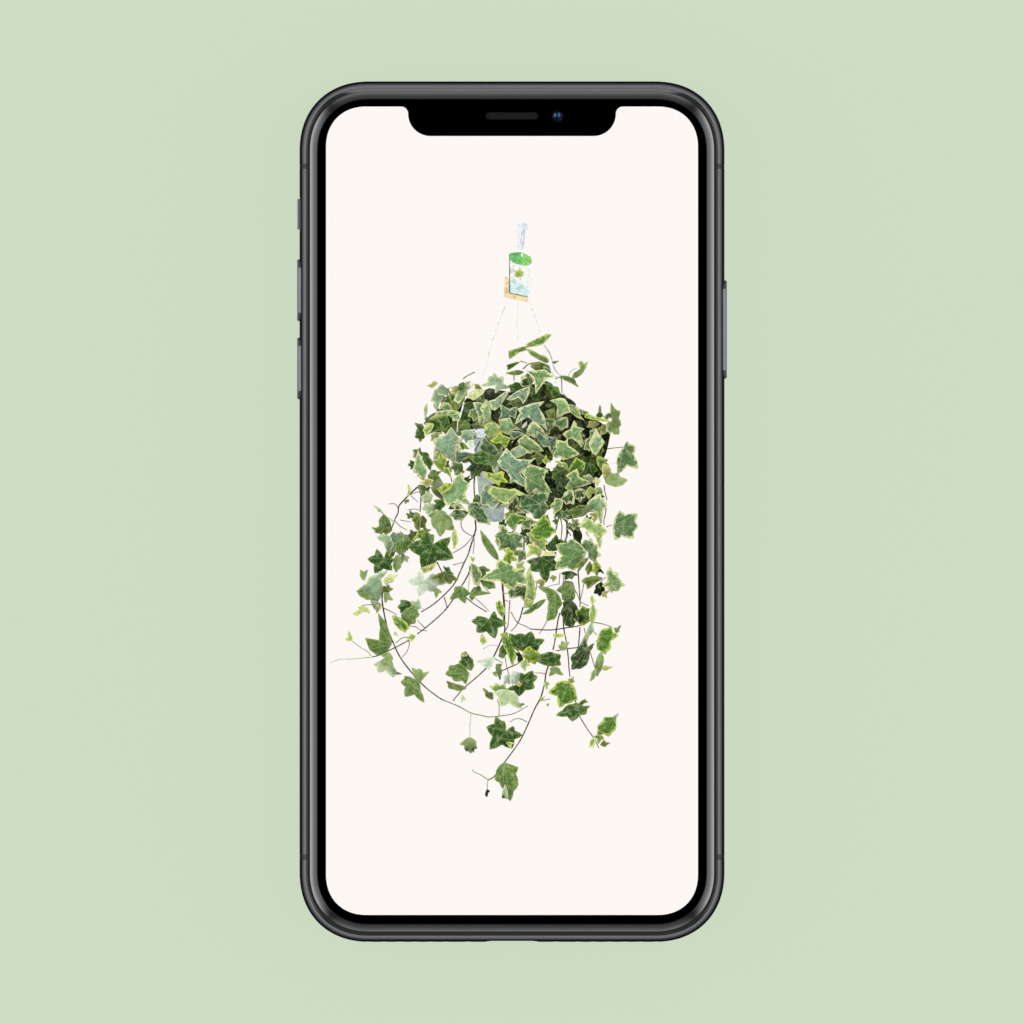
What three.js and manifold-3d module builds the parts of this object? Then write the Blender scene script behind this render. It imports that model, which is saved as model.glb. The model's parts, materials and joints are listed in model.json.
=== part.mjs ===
// A slim touchscreen phone that lies on its back, in millimetres. X runs to the right of the
// screen, Y towards its top end and Z out of it. The origin is the middle of the flat back.

import * as THREE from "three";
import { mergeVertices } from "three/addons/utils/BufferGeometryUtils.js";
import Module from "manifold-3d";

const wasm = await Module();
wasm.setup();

// The body: a slab whose whole edge is one elliptical curve, seen from the front as a soft rectangle.
const BODY_WIDTH = 70.9;
const BODY_HEIGHT = 143.6;
const BODY_THICKNESS = 7.7;
const CORNER_RADIUS = 11.7;
const CORNER_POWER = 2.2;
const CORNER_STEPS = 12;
const EDGE_REACH = 3.12;
const EDGE_FLAT = 0.5;
const EDGE_STEPS = 6;
const MIDDLE_Z = BODY_THICKNESS / 2;

// How far inside the body's outline each layer begins.
const LIP_INSET = 1.3;
const SEAL_INSET = 1.32;
const SEAL_END_INSET = 1.71;
const GLASS_INSET = 1.75;
const BORDER_INSET = 1.85;
const RAIL_INSET = 2.2;
const CARRIER_END_INSET = 3.2;

// Heights of the layers, from the back glass up to the cover glass.
const BACK_GLASS_TOP = 0.8;
const PLATE_BOTTOM = 1.0;
const PLATE_TOP = 1.6;
const INSIDE_TOP = 5.2;
const PANEL_BOTTOM = 5.3;
const FRONT_SHELF = 6.3;
const PANEL_TOP = 6.6;
const COVER_BOTTOM = 6.9;

// The lit area of the screen and the notch that cuts into its top edge.
const SCREEN_WIDTH = 62.07;
const SCREEN_HEIGHT = 134.9;
const SCREEN_RADIUS = 6.84;
const SCREEN_CENTRE_Y = 0.15;
const NOTCH_HALF_WIDTH = 17.33;
const NOTCH_DEPTH = 4.92;
const NOTCH_RADIUS = 3.7;
const NOTCH_FLARE = 1.2;
const SENSOR_ROW_Y = 66.05;
const EARPIECE_SIZE = [8.96, 1.3];
const GRILLE_GAP = 0.1;
const GRILLE_DEPTH = 0.25;
const FRONT_CAMERA_X = 7.6;
const FRONT_BARREL_RADIUS = 1;
const FRONT_HOLE_RADIUS = 1.15;
const PANEL_OVERLAP = 0.6;

// Plastic breaks in the metal rail, measured from each end of the body.
const BREAK_FROM_END = 14.15;
const BREAK_WIDTH = 0.9;

// Keys in the rail: how far they stand out, and where each one is along the side.
const KEY_STAND_OUT = 0.4;
const KEY_HEIGHT = 3.0;
const KEY_GAP = 0.1;
const KEYS = [
  { name: "volume_up_key", side: -1, y: 36.96, length: 10.3 },
  { name: "volume_down_key", side: -1, y: 23.89, length: 10.3 },
  { name: "side_key", side: 1, y: 30.39, length: 16.4 },
];
const SWITCH_Y = 49.62;
const SWITCH_SIZE = [5.2, 1.6];
const SWITCH_REST_Z = 4.4;
const SWITCH_SLOT = { length: 5.6, low: 2.5, high: 5.3 };

// Card tray in the right rail.
const TRAY_Y = 2;
const TRAY_FACE = [14.6, 1.7];
const TRAY_BODY = { length: 13.8, height: 1.2, inner: 18.5, outer: 33.4 };

// Screws in the bottom edge, one on each side of the charging socket.
const SCREW_X = 7.4;
const SCREW_RADIUS = 0.75;

// Rear cameras, seen through a window that is flush with the back.
const REAR_CENTRE = [24.6, 54.5];
const REAR_SIZE = [11.4, 23.4];
const REAR_RING_WIDTH = 0.5;
const REAR_LENS_OFFSET = 6;

const paint = (color, roughness, metalness = 0) => new THREE.MeshStandardMaterial({ color, roughness, metalness });
const material = {
  rail: paint(0x4a494e, 0.35, 0.9),
  breaks: paint(0x3a393f, 0.55),
  key: paint(0x5c5a62, 0.35, 0.9),
  coverGlass: new THREE.MeshStandardMaterial({ color: 0x111214, roughness: 0.03, transparent: true, opacity: 0.2 }),
  backGlass: paint(0x1b1b1e, 0.08),
  black: paint(0x050505, 0.5),
  screen: paint(0xfcf7f3, 0.3),
  mesh: paint(0x191919, 0.6, 0.4),
  lens: paint(0x0b1c3c, 0.05),
  plate: paint(0x9a9ca0, 0.5, 0.8),
  copper: paint(0xb5713c, 0.4, 0.9),
  cell: paint(0x2b2c30, 0.45),
  board: paint(0x10261c, 0.6),
  shield: paint(0xb9bbbd, 0.35, 0.9),
  steel: paint(0x8c8d90, 0.3, 1),
  plastic: paint(0x17181a, 0.6),
};

const phone = new THREE.Group();

// A rectangle with superelliptic corners, as a closed shape that runs anticlockwise.
function softRectangle(width, height, radius, centre = [0, 0], power = CORNER_POWER, steps = CORNER_STEPS) {
  const points = [];
  for (let quarter = 0; quarter < 4; quarter++) {
    const right = quarter === 0 || quarter === 3 ? 1 : -1;
    const up = quarter < 2 ? 1 : -1;
    for (let i = 0; i <= steps; i++) {
      const turn = ((quarter % 2 === 0 ? i : steps - i) / steps) * (Math.PI / 2);
      const across = width / 2 - radius + radius * Math.cos(turn) ** (2 / power);
      const along = height / 2 - radius + radius * Math.abs(Math.sin(turn)) ** (2 / power);
      points.push(new THREE.Vector2(centre[0] + right * across, centre[1] + up * along));
    }
  }
  const apart = (point, i) => point.distanceTo(points.at(i - 1)) > 1e-6;
  return new THREE.Shape(points.filter(apart));
}

// The body's outline, moved in by an inset.
function outline(inset) {
  return softRectangle(BODY_WIDTH - 2 * inset, BODY_HEIGHT - 2 * inset, CORNER_RADIUS - inset);
}

// A rectangle whose two short ends are half circles.
function stadium(length, height, centre = [0, 0]) {
  const turned = height > length;
  return softRectangle(length, height, (turned ? length : height) / 2, centre, 2, 6);
}

function circle(radius, centre = [0, 0]) {
  return new THREE.Shape().absarc(centre[0], centre[1], radius, 0, 2 * Math.PI);
}

// The shape extruded from one height to another. An edge radius rounds both rims.
function slab(shape, low, high, edge = 0) {
  const options = {
    depth: high - low - 2 * edge,
    bevelEnabled: edge > 0,
    bevelThickness: edge,
    bevelSize: edge,
    bevelOffset: -edge,
    bevelSegments: 2,
    curveSegments: 24,
  };
  return new THREE.ExtrudeGeometry(shape, options).translate(0, 0, low + edge);
}

// The same, extruded along X: the shape's own axes become Y and Z.
function slabAlongX(shape, low, high, edge = 0) {
  const turn = new THREE.Matrix4().makeBasis(
    new THREE.Vector3(0, 1, 0), new THREE.Vector3(0, 0, 1), new THREE.Vector3(1, 0, 0));
  return slab(shape, low, high, edge).applyMatrix4(turn);
}

// The same, extruded along Y: the shape's own axes become Z and X.
function slabAlongY(shape, low, high, edge = 0) {
  const turn = new THREE.Matrix4().makeBasis(
    new THREE.Vector3(0, 0, 1), new THREE.Vector3(1, 0, 0), new THREE.Vector3(0, 1, 0));
  return slab(shape, low, high, edge).applyMatrix4(turn);
}

function block(low, high) {
  const size = high.map((value, axis) => value - low[axis]);
  const centre = high.map((value, axis) => (value + low[axis]) / 2);
  return new THREE.BoxGeometry(...size).translate(...centre);
}

// Geometry to solid and back, for the cuts and joins.
function solid(geometry) {
  const bare = geometry.index ? geometry.toNonIndexed() : geometry.clone();
  bare.deleteAttribute("normal");
  bare.deleteAttribute("uv");
  const merged = mergeVertices(bare, 1e-4);
  return new wasm.Manifold(new wasm.Mesh({
    numProp: 3,
    vertProperties: merged.attributes.position.array,
    triVerts: new Uint32Array(merged.index.array),
  }));
}

function geometryOf(shape) {
  const mesh = shape.getMesh();
  const geometry = new THREE.BufferGeometry();
  geometry.setAttribute("position", new THREE.BufferAttribute(new Float32Array(mesh.vertProperties), 3));
  geometry.setIndex(new THREE.BufferAttribute(new Uint32Array(mesh.triVerts), 1));
  geometry.computeVertexNormals();
  return geometry;
}

const joined = (...shapes) => shapes.map(solid).reduce((all, one) => all.add(one));
const cut = (whole, ...shapes) => shapes.reduce((rest, one) => rest.subtract(solid(one)), whole);

function add(name, shape, finish, parent = phone) {
  const geometry = shape instanceof THREE.BufferGeometry ? shape : geometryOf(shape);
  const mesh = new THREE.Mesh(geometry, finish);
  mesh.name = name;
  parent.add(mesh);
  return mesh;
}

function subgroup(x = 0, y = 0, z = 0) {
  const made = new THREE.Group();
  made.position.set(x, y, z);
  phone.add(made);
  return made;
}

// The slab with its elliptical edge, from which the rail and both glasses are cut.
function envelope() {
  const bevel = (BODY_THICKNESS - EDGE_FLAT) / 2;
  const geometry = new THREE.ExtrudeGeometry(outline(EDGE_REACH), {
    depth: EDGE_FLAT,
    bevelThickness: bevel,
    bevelSize: EDGE_REACH,
    bevelSegments: EDGE_STEPS,
  });
  return solid(geometry.translate(0, 0, bevel));
}

const BELOW = -1;
const ABOVE = BODY_THICKNESS + 1;
const body = envelope();

// Metal rail in four lengths, with a plastic break between each two.
function rail() {
  const holes = [
    slab(outline(RAIL_INSET), BELOW, ABOVE),
    slab(outline(LIP_INSET), FRONT_SHELF, ABOVE),
    slab(outline(LIP_INSET), BELOW, PLATE_TOP),
  ];
  const half = BODY_WIDTH / 2;
  for (const key of KEYS) {
    const hole = stadium(key.length + 2 * KEY_GAP, KEY_HEIGHT + 2 * KEY_GAP, [key.y, MIDDLE_Z]);
    holes.push(slabAlongX(hole, key.side < 0 ? -half - 1 : half - 3, key.side < 0 ? -half + 3 : half + 1));
  }
  const slotMiddle = (SWITCH_SLOT.low + SWITCH_SLOT.high) / 2;
  const slotHeight = SWITCH_SLOT.high - SWITCH_SLOT.low;
  const slot = softRectangle(SWITCH_SLOT.length, slotHeight, SWITCH_SIZE[1] / 2, [SWITCH_Y, slotMiddle], 2, 4);
  holes.push(slabAlongX(slot, -half - 1, -half + 3));
  holes.push(slabAlongX(trayOpening(KEY_GAP / 2), half - 3, half + 1));
  holes.push(slabAlongY(portOpening(0.1), -BODY_HEIGHT / 2 - 1, -BODY_HEIGHT / 2 + 3));
  for (const [x, radius] of bottomHoles()) {
    const hole = softRectangle(2 * radius, 2 * radius, radius, [MIDDLE_Z, x], 2, 3);
    holes.push(slabAlongY(hole, -BODY_HEIGHT / 2 - 1, -BODY_HEIGHT / 2 + 3));
  }
  const band = cut(body, ...holes);

  const breakEnd = BODY_HEIGHT / 2 - BREAK_FROM_END + BREAK_WIDTH / 2;
  const breakStart = breakEnd - BREAK_WIDTH;
  const far = BODY_HEIGHT;
  const within = (low, high) => band.intersect(solid(block(low, high)));
  add("rail_left", within([-far, -breakStart, BELOW], [0, breakStart, ABOVE]), material.rail);
  add("rail_right", within([0, -breakStart, BELOW], [far, breakStart, ABOVE]), material.rail);
  add("rail_top", within([-far, breakEnd, BELOW], [far, far, ABOVE]), material.rail);
  add("rail_bottom", within([-far, -far, BELOW], [far, -breakEnd, ABOVE]), material.rail);
  const corners = { top_left: [-1, 1], top_right: [1, 1], bottom_left: [-1, -1], bottom_right: [1, -1] };
  for (const [corner, [right, up]] of Object.entries(corners)) {
    const low = [right < 0 ? -far : 0, up > 0 ? breakStart : -breakEnd, BELOW];
    const high = [right < 0 ? 0 : far, up > 0 ? breakEnd : -breakStart, ABOVE];
    add("antenna_break_" + corner, within(low, high), material.breaks);
  }
  return band;
}

// Round holes along the bottom edge, as pairs of place and radius: two rows of sound holes and two screws.
function bottomHoles() {
  const SOUND_HOLES = 6;
  const FIRST_X = 11;
  const PITCH = 2.6;
  const SOUND_RADIUS = 0.75;
  const holes = [[SCREW_X, SCREW_RADIUS + 0.1], [-SCREW_X, SCREW_RADIUS + 0.1]];
  for (let i = 0; i < SOUND_HOLES; i++) {
    const x = FIRST_X + PITCH * i;
    holes.push([x, SOUND_RADIUS], [-x, SOUND_RADIUS]);
  }
  return holes;
}

function trayOpening(grow) {
  return stadium(TRAY_FACE[0] + 2 * grow, TRAY_FACE[1] + 2 * grow, [TRAY_Y, MIDDLE_Z]);
}

// The socket's mouth in the bottom edge. Its first axis is Z and its second is X.
function portOpening(grow) {
  const PORT_MOUTH = [2.6, 9.0];
  return stadium(PORT_MOUTH[0] + 2 * grow, PORT_MOUTH[1] + 2 * grow, [MIDDLE_Z, 0]);
}

// The notch in the screen, with rounded lower corners and small flares at its top.
function notch() {
  const top = SCREEN_CENTRE_Y + SCREEN_HEIGHT / 2;
  const bottom = top - NOTCH_DEPTH;
  const half = NOTCH_HALF_WIDTH;
  const r = NOTCH_RADIUS;
  const flare = NOTCH_FLARE;
  const over = 2;
  const shape = new THREE.Shape();
  shape.moveTo(-half - flare, top + over);
  shape.lineTo(-half - flare, top);
  shape.absarc(-half - flare, top - flare, flare, Math.PI / 2, 0, true);
  shape.absarc(-half + r, bottom + r, r, Math.PI, 1.5 * Math.PI, false);
  shape.absarc(half - r, bottom + r, r, 1.5 * Math.PI, 2 * Math.PI, false);
  shape.absarc(half + flare, top - flare, flare, Math.PI, Math.PI / 2, true);
  shape.lineTo(half + flare, top + over);
  return shape;
}

// Cover glass, the black print behind it, its seal, the frame that carries it, and the lit panel.
function display() {
  const earpiece = stadium(...EARPIECE_SIZE, [0, SENSOR_ROW_Y]);
  const cover = body.intersect(solid(slab(outline(GLASS_INSET), COVER_BOTTOM, ABOVE)));
  add("cover_glass", cut(cover, slab(earpiece, BELOW, ABOVE)), material.coverGlass);

  const lit = softRectangle(SCREEN_WIDTH, SCREEN_HEIGHT, SCREEN_RADIUS, [0, SCREEN_CENTRE_Y]);
  const window = cut(solid(slab(lit, BELOW, ABOVE)), slab(notch(), BELOW - 1, ABOVE + 1));
  const border = solid(slab(outline(BORDER_INSET), PANEL_TOP, COVER_BOTTOM)).subtract(window);
  const cameraHole = slab(circle(FRONT_HOLE_RADIUS, [FRONT_CAMERA_X, SENSOR_ROW_Y]), BELOW, ABOVE);
  add("screen_border", cut(border, cameraHole, slab(earpiece, BELOW, ABOVE)), material.black);

  const seal = solid(slab(outline(SEAL_INSET), FRONT_SHELF, COVER_BOTTOM));
  add("cover_seal", cut(seal, slab(outline(SEAL_END_INSET), BELOW, ABOVE)), material.black);
  const carrier = solid(slab(outline(GLASS_INSET), FRONT_SHELF, PANEL_TOP));
  add("screen_carrier", cut(carrier, slab(outline(CARRIER_END_INSET), BELOW, ABOVE)), material.plastic);

  const panelShape = softRectangle(SCREEN_WIDTH + 2 * PANEL_OVERLAP, SCREEN_HEIGHT + 2 * PANEL_OVERLAP,
    SCREEN_RADIUS + PANEL_OVERLAP, [0, SCREEN_CENTRE_Y]);
  const bayDepth = SCREEN_HEIGHT / 2 + SCREEN_CENTRE_Y - NOTCH_DEPTH + PANEL_OVERLAP;
  const bayHalf = NOTCH_HALF_WIDTH - NOTCH_RADIUS;
  const bay = block([-bayHalf, bayDepth, BELOW], [bayHalf, BODY_HEIGHT, ABOVE]);
  add("screen_panel", cut(solid(slab(panelShape, PANEL_BOTTOM, PANEL_TOP)), bay), material.screen);

  const [length, width] = EARPIECE_SIZE.map((size) => size - 2 * GRILLE_GAP);
  const grille = slab(stadium(length, width, [0, SENSOR_ROW_Y]), PANEL_TOP, BODY_THICKNESS - GRILLE_DEPTH);
  add("earpiece_grille", grille, material.mesh);
}

// Back glass with its seal, the window of the rear cameras and the metal ring round it.
function back() {
  const opening = stadium(REAR_SIZE[0] + 0.1, REAR_SIZE[1] + 0.1, REAR_CENTRE);
  const glass = body.intersect(solid(slab(outline(GLASS_INSET), BELOW, BACK_GLASS_TOP)));
  add("back_glass", cut(glass, slab(opening, BELOW, ABOVE)), material.backGlass);
  const seal = solid(slab(outline(SEAL_INSET), BACK_GLASS_TOP, PLATE_TOP));
  add("back_seal", cut(seal, slab(outline(SEAL_END_INSET), BELOW, ABOVE)), material.black);
  const glue = solid(slab(outline(GLASS_INSET), BACK_GLASS_TOP, PLATE_BOTTOM));
  add("back_adhesive", cut(glue, slab(outline(CARRIER_END_INSET), BELOW, ABOVE)), material.plastic);

  const ringInside = REAR_SIZE.map((size) => size - 2 * REAR_RING_WIDTH);
  const ring = solid(slab(stadium(...REAR_SIZE, REAR_CENTRE), 0, PLATE_BOTTOM, 0.15));
  add("rear_camera_ring", cut(ring, slab(stadium(...ringInside, REAR_CENTRE), BELOW, ABOVE)), material.steel);
  const windowShape = stadium(ringInside[0] - 0.1, ringInside[1] - 0.1, REAR_CENTRE);
  add("rear_camera_window", slab(windowShape, 0.1, 0.6), material.backGlass);
}

// Chassis plate that everything inside is fixed to, and the charging coil set into it.
function chassis() {
  const COIL_OUTER = 21;
  const COIL_INNER = 9;
  const plate = solid(slab(outline(GLASS_INSET), PLATE_BOTTOM, PLATE_TOP));
  const coilHole = slab(circle(COIL_OUTER + 0.4), BELOW, ABOVE);
  const cameraHole = slab(stadium(REAR_SIZE[0] - 0.4, REAR_SIZE[1] - 0.4, REAR_CENTRE), BELOW, ABOVE);
  add("chassis_plate", cut(plate, coilHole, cameraHole), material.plate);
  const coil = solid(slab(circle(COIL_OUTER), BACK_GLASS_TOP, PLATE_TOP - 0.1));
  add("charging_coil", cut(coil, slab(circle(COIL_INNER), BELOW, ABOVE)), material.copper);
}

// Box-like parts between the chassis plate and the screen, each as [name, low corner, high corner, finish].
function insides() {
  const low = PLATE_TOP;
  const top = INSIDE_TOP;
  const boardTop = low + 1.0;
  const boxes = [
    ["battery_main", [-30.4, -27, low], [8.4, 50, top - 0.2], material.cell],
    ["battery_lower", [-30.4, -50, low], [30.4, -28, top - 0.2], material.cell],
    ["logic_board", [9.6, -26.5, low], [31.2, 42, boardTop], material.board],
    ["board_shield_upper", [10.4, 14, boardTop], [31, 41, top - 0.4], material.shield],
    ["board_shield_lower", [10.4, -25.6, boardTop], [31, -8, top - 0.4], material.shield],
    ["vibration_motor", [-30, -67.6, low], [-8.2, -52, top - 0.6], material.steel],
    ["loudspeaker", [8.2, -67.6, low], [30, -52, top - 0.4], material.plastic],
    ["earpiece_speaker", [-6.4, 60.4, low], [5.2, 69, top], material.plastic],
    ["dot_projector", [10.4, 63.2, low], [14.6, 68.8, top], material.shield],
    ["infrared_camera", [-14.6, 63, low], [-8.4, 69, top], material.shield],
  ];
  for (const [name, from, to, finish] of boxes) {
    const centre = [(from[0] + to[0]) / 2, (from[1] + to[1]) / 2];
    const shape = softRectangle(to[0] - from[0], to[1] - from[1], 1.2, centre, 2, 3);
    add(name, slab(shape, from[2], to[2], 0.2), finish);
  }
}

// A camera module: a square housing with a lens barrel that points up or down.
function camera(name, centre, housing, barrelRadius, facing, low, high, tip, finish) {
  const group = subgroup(...centre, 0);
  const box = slab(softRectangle(housing, housing, 0.6, [0, 0], 2, 3), low, high);
  const barrel = facing > 0 ? [high, tip] : [tip, low];
  const reach = 0.2;
  const tube = slab(circle(barrelRadius), barrel[0] - reach * (facing > 0), barrel[1] + reach * (facing < 0));
  add(name, joined(box, tube), finish, group);
}

function cameras() {
  const [x, y] = REAR_CENTRE;
  camera("rear_camera_wide", [x, y + REAR_LENS_OFFSET], 9, 3.4, -1, PLATE_TOP, INSIDE_TOP, 0.7, material.lens);
  camera("rear_camera_tele", [x, y - REAR_LENS_OFFSET], 9, 3.4, -1, PLATE_TOP, INSIDE_TOP, 0.7, material.lens);
  camera("rear_flash", [x, y], 2.6, 1.2, -1, PLATE_TOP, 3, 0.7, material.screen);
  camera("front_camera", [FRONT_CAMERA_X, SENSOR_ROW_Y], 4.6, FRONT_BARREL_RADIUS, 1,
    PLATE_TOP, INSIDE_TOP, COVER_BOTTOM - 0.1, material.lens);
}

// A key: a rounded cap in the rail and a wider foot behind it that keeps it in.
function key({ name, side, y, length }) {
  const FOOT_OVERLAP = 0.8;
  const FOOT_THICKNESS = 0.5;
  const inner = BODY_WIDTH / 2 - RAIL_INSET - 0.05;
  const group = subgroup(side * inner, y, MIDDLE_Z);
  const outer = RAIL_INSET + 0.05 + KEY_STAND_OUT;
  const cap = slabAlongX(stadium(length, KEY_HEIGHT), -FOOT_THICKNESS / 2, outer, 0.3);
  const foot = slabAlongX(stadium(length + 2 * FOOT_OVERLAP, KEY_HEIGHT + FOOT_OVERLAP), -FOOT_THICKNESS, 0);
  const mesh = add(name, joined(cap, foot), material.key, group);
  mesh.rotation.z = side < 0 ? Math.PI : 0;
}

// The ring switch: a lever that slides towards the back, on a small plate that closes its slot.
function ringSwitch() {
  const PLATE_SIZE = [7, 3];
  const PLATE_DROP = 0.2;
  const inner = BODY_WIDTH / 2 - RAIL_INSET - 0.05;
  const group = subgroup(-inner, SWITCH_Y, SWITCH_REST_Z);
  const outer = RAIL_INSET + 0.05 + KEY_STAND_OUT;
  const lever = slabAlongX(stadium(...SWITCH_SIZE), -0.2, outer, 0.2);
  const plate = slabAlongX(softRectangle(...PLATE_SIZE, 0.5, [0, -PLATE_DROP], 2, 2), -0.4, 0);
  const mesh = add("ring_switch", joined(lever, plate), material.key, group);
  mesh.rotation.z = Math.PI;
}

// Spring contacts behind the keys, one strip for each side.
function keyContacts() {
  const GAP_TO_FOOT = 0.35;
  const thickness = 0.5;
  const outer = BODY_WIDTH / 2 - RAIL_INSET - 0.05 - 0.5 - GAP_TO_FOOT;
  const strip = (side, from, to) => block(
    [side < 0 ? -outer : outer - thickness, from, PLATE_TOP],
    [side < 0 ? -outer + thickness : outer, to, INSIDE_TOP]);
  add("key_contacts_left", strip(-1, 17.5, 53.5), material.steel);
  add("key_contacts_right", strip(1, 20.5, 40), material.steel);
}

// Card tray: its face is a piece of the rail's own curve, and its body has a pocket for the card.
function cardTray() {
  const half = BODY_WIDTH / 2;
  const { length, height, inner, outer } = TRAY_BODY;
  const face = body.intersect(solid(slabAlongX(trayOpening(-KEY_GAP / 2), outer, half + 1)));
  const low = MIDDLE_Z - height / 2;
  const shelf = block([inner, TRAY_Y - length / 2, low], [outer + 0.1, TRAY_Y + length / 2, low + height]);
  const pocket = block([inner + 1.5, TRAY_Y - 6.2, low + 0.4], [outer - 4, TRAY_Y + 6.2, ABOVE]);
  const pinHole = slabAlongX(softRectangle(0.9, 0.9, 0.45, [TRAY_Y - 6, MIDDLE_Z], 2, 2), outer, half + 1);
  add("card_tray", cut(face.add(solid(shelf)), pocket, pinHole), material.key);

  const cage = block([inner - 0.8, TRAY_Y - length / 2 - 0.7, low - 0.5],
    [outer - 1.4, TRAY_Y + length / 2 + 0.7, low + height + 0.5]);
  const tunnel = block([inner - 0.3, TRAY_Y - length / 2 - 0.1, low - 0.1],
    [outer + 1, TRAY_Y + length / 2 + 0.1, low + height + 0.1]);
  add("card_reader", cut(solid(cage), tunnel), material.shield);
}

// Charging socket: a metal shell in a block behind the rail, with a contact tongue inside.
function chargingSocket() {
  const end = -BODY_HEIGHT / 2;
  const shell = slabAlongY(portOpening(0), end + 0.7, end + 7.4);
  const base = block([-6.2, end + 2.4, PLATE_TOP], [6.2, end + 8.2, INSIDE_TOP]);
  const cavity = slabAlongY(portOpening(-0.3), end - 1, end + 7);
  const tongue = block([-3.35, end + 1.4, MIDDLE_Z - 0.35], [3.35, end + 7.1, MIDDLE_Z + 0.35]);
  add("charging_socket", cut(joined(shell, base), cavity).add(solid(tongue)), material.steel);
}

// Two screws in the bottom edge, with a five-pointed recess.
function screws() {
  const POINTS = 5;
  const end = -BODY_HEIGHT / 2;
  const star = new THREE.Shape();
  for (let i = 0; i < 2 * POINTS; i++) {
    const reach = i % 2 ? 0.22 : 0.45;
    const turn = (i / POINTS) * Math.PI;
    const corner = [reach * Math.cos(turn), reach * Math.sin(turn)];
    if (i === 0) star.moveTo(...corner);
    else star.lineTo(...corner);
  }
  for (const [name, x] of [["bottom_screw_left", -SCREW_X], ["bottom_screw_right", SCREW_X]]) {
    const group = subgroup(x, end, MIDDLE_Z);
    const shank = slabAlongY(softRectangle(2 * SCREW_RADIUS, 2 * SCREW_RADIUS, SCREW_RADIUS, [0, 0], 2, 4), 0.3, 3.2);
    const recess = slabAlongY(star, -1, 0.8);
    add(name, cut(solid(shank), recess), material.steel, group);
  }
}

rail();
display();
back();
chassis();
insides();
cameras();
KEYS.forEach(key);
ringSwitch();
keyContacts();
cardTray();
chargingSocket();
screws();

export default phone;
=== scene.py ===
# %% [markdown]
# # A slim touchscreen phone, lying on its back
#
# The real object is a metal rail between two sheets of glass, with a lit screen under the front one.
# The frame gives every piece its size and place. This script makes the surfaces that are seen: smooth
# curved edges, polished metal, clear and black glass, and the picture that the screen shows. Lengths
# are in metres, so a size in millimetres is multiplied by MM.

import json
import math
import random

import bmesh
import bpy
import numpy as np
from mathutils import Matrix, Vector


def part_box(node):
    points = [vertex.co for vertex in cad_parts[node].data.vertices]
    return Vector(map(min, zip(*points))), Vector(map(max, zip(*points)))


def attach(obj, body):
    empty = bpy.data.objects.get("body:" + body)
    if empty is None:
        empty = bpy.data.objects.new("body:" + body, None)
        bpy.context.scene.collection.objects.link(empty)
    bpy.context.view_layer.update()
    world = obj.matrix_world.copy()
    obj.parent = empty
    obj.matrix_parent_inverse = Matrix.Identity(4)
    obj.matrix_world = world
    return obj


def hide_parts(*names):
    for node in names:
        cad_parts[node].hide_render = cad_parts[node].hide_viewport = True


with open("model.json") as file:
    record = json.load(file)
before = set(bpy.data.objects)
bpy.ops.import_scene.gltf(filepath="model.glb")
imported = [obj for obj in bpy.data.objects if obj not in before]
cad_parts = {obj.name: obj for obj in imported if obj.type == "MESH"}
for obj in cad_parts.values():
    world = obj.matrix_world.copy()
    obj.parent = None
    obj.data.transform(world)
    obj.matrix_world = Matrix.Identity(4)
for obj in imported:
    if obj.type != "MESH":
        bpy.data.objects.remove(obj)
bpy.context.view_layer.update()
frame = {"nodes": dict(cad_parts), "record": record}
MM = 0.001


def size_of(node):
    """The lowest corner, the highest corner and the size of a CAD node, in millimetres."""
    low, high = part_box(node)
    return Vector(low) / MM, Vector(high) / MM, (Vector(high) - Vector(low)) / MM


top_low, top_high, top_size = size_of("rail_top")
BODY_WIDTH = top_size.x
BODY_HEIGHT = 2 * top_high.y
BODY_THICKNESS = size_of("cover_glass")[1].z
MIDDLE_Z = BODY_THICKNESS / 2
print(f"The body is {BODY_WIDTH:.1f} by {BODY_HEIGHT:.1f} by {BODY_THICKNESS:.1f} mm")

# %% [markdown]
# ## The camera
#
# The photograph looks straight down on the phone with no perspective: the two long sides are parallel
# and no side wall shows. An orthographic camera does that. The phone is 861 of the picture's 1024
# pixels high, which fixes the width of the view.

# %% Camera above the screen
PHOTO_SIZE_PX = 1024
PHONE_HEIGHT_PX = 860.5
PHONE_CENTRE_PX = (512.0, 511.65)
MM_PER_PX = BODY_HEIGHT / PHONE_HEIGHT_PX
CAMERA_HEIGHT = 0.6

camera = bpy.data.objects.new("camera", bpy.data.cameras.new("camera"))
camera.data.type = "ORTHO"
camera.data.ortho_scale = PHOTO_SIZE_PX * MM_PER_PX * MM
camera.location = (0, (PHONE_CENTRE_PX[1] - PHOTO_SIZE_PX / 2) * MM_PER_PX * MM, CAMERA_HEIGHT)
bpy.context.scene.collection.objects.link(camera)
bpy.context.scene.camera = camera
bpy.context.scene.view_settings.view_transform = "Standard"
print(f"One pixel is {MM_PER_PX:.4f} mm")

# %% [markdown]
# ## Outlines
#
# Every level of the body has the same outline, moved in by an inset. Its corners are superellipses:
# a little squarer than a circle, so the straight side runs into the corner without a visible start.
# One function gives that outline as points, and all glass, metal and print is drawn from it.

# %% Points of a soft rectangle
CORNER_RADIUS = 11.7
CORNER_POWER = 2.2
CORNER_STEPS = 36
EDGE_REACH = 3.12
EDGE_FLAT = 0.5
EDGE_STEPS = 18


def soft_rectangle(width, height, radius, centre=(0, 0), power=2.0, steps=CORNER_STEPS):
    """Points of a rectangle with round corners, anticlockwise from the middle of its right side."""
    points = []
    for quarter in range(4):
        right = 1 if quarter in (0, 3) else -1
        up = 1 if quarter < 2 else -1
        for i in range(steps + 1):
            turn = (i if quarter % 2 == 0 else steps - i) / steps * math.pi / 2
            across = width / 2 - radius + radius * abs(math.cos(turn)) ** (2 / power)
            along = height / 2 - radius + radius * abs(math.sin(turn)) ** (2 / power)
            points.append((centre[0] + right * across, centre[1] + up * along))
    return [p for i, p in enumerate(points) if math.dist(p, points[i - 1]) > 1e-6]


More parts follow.
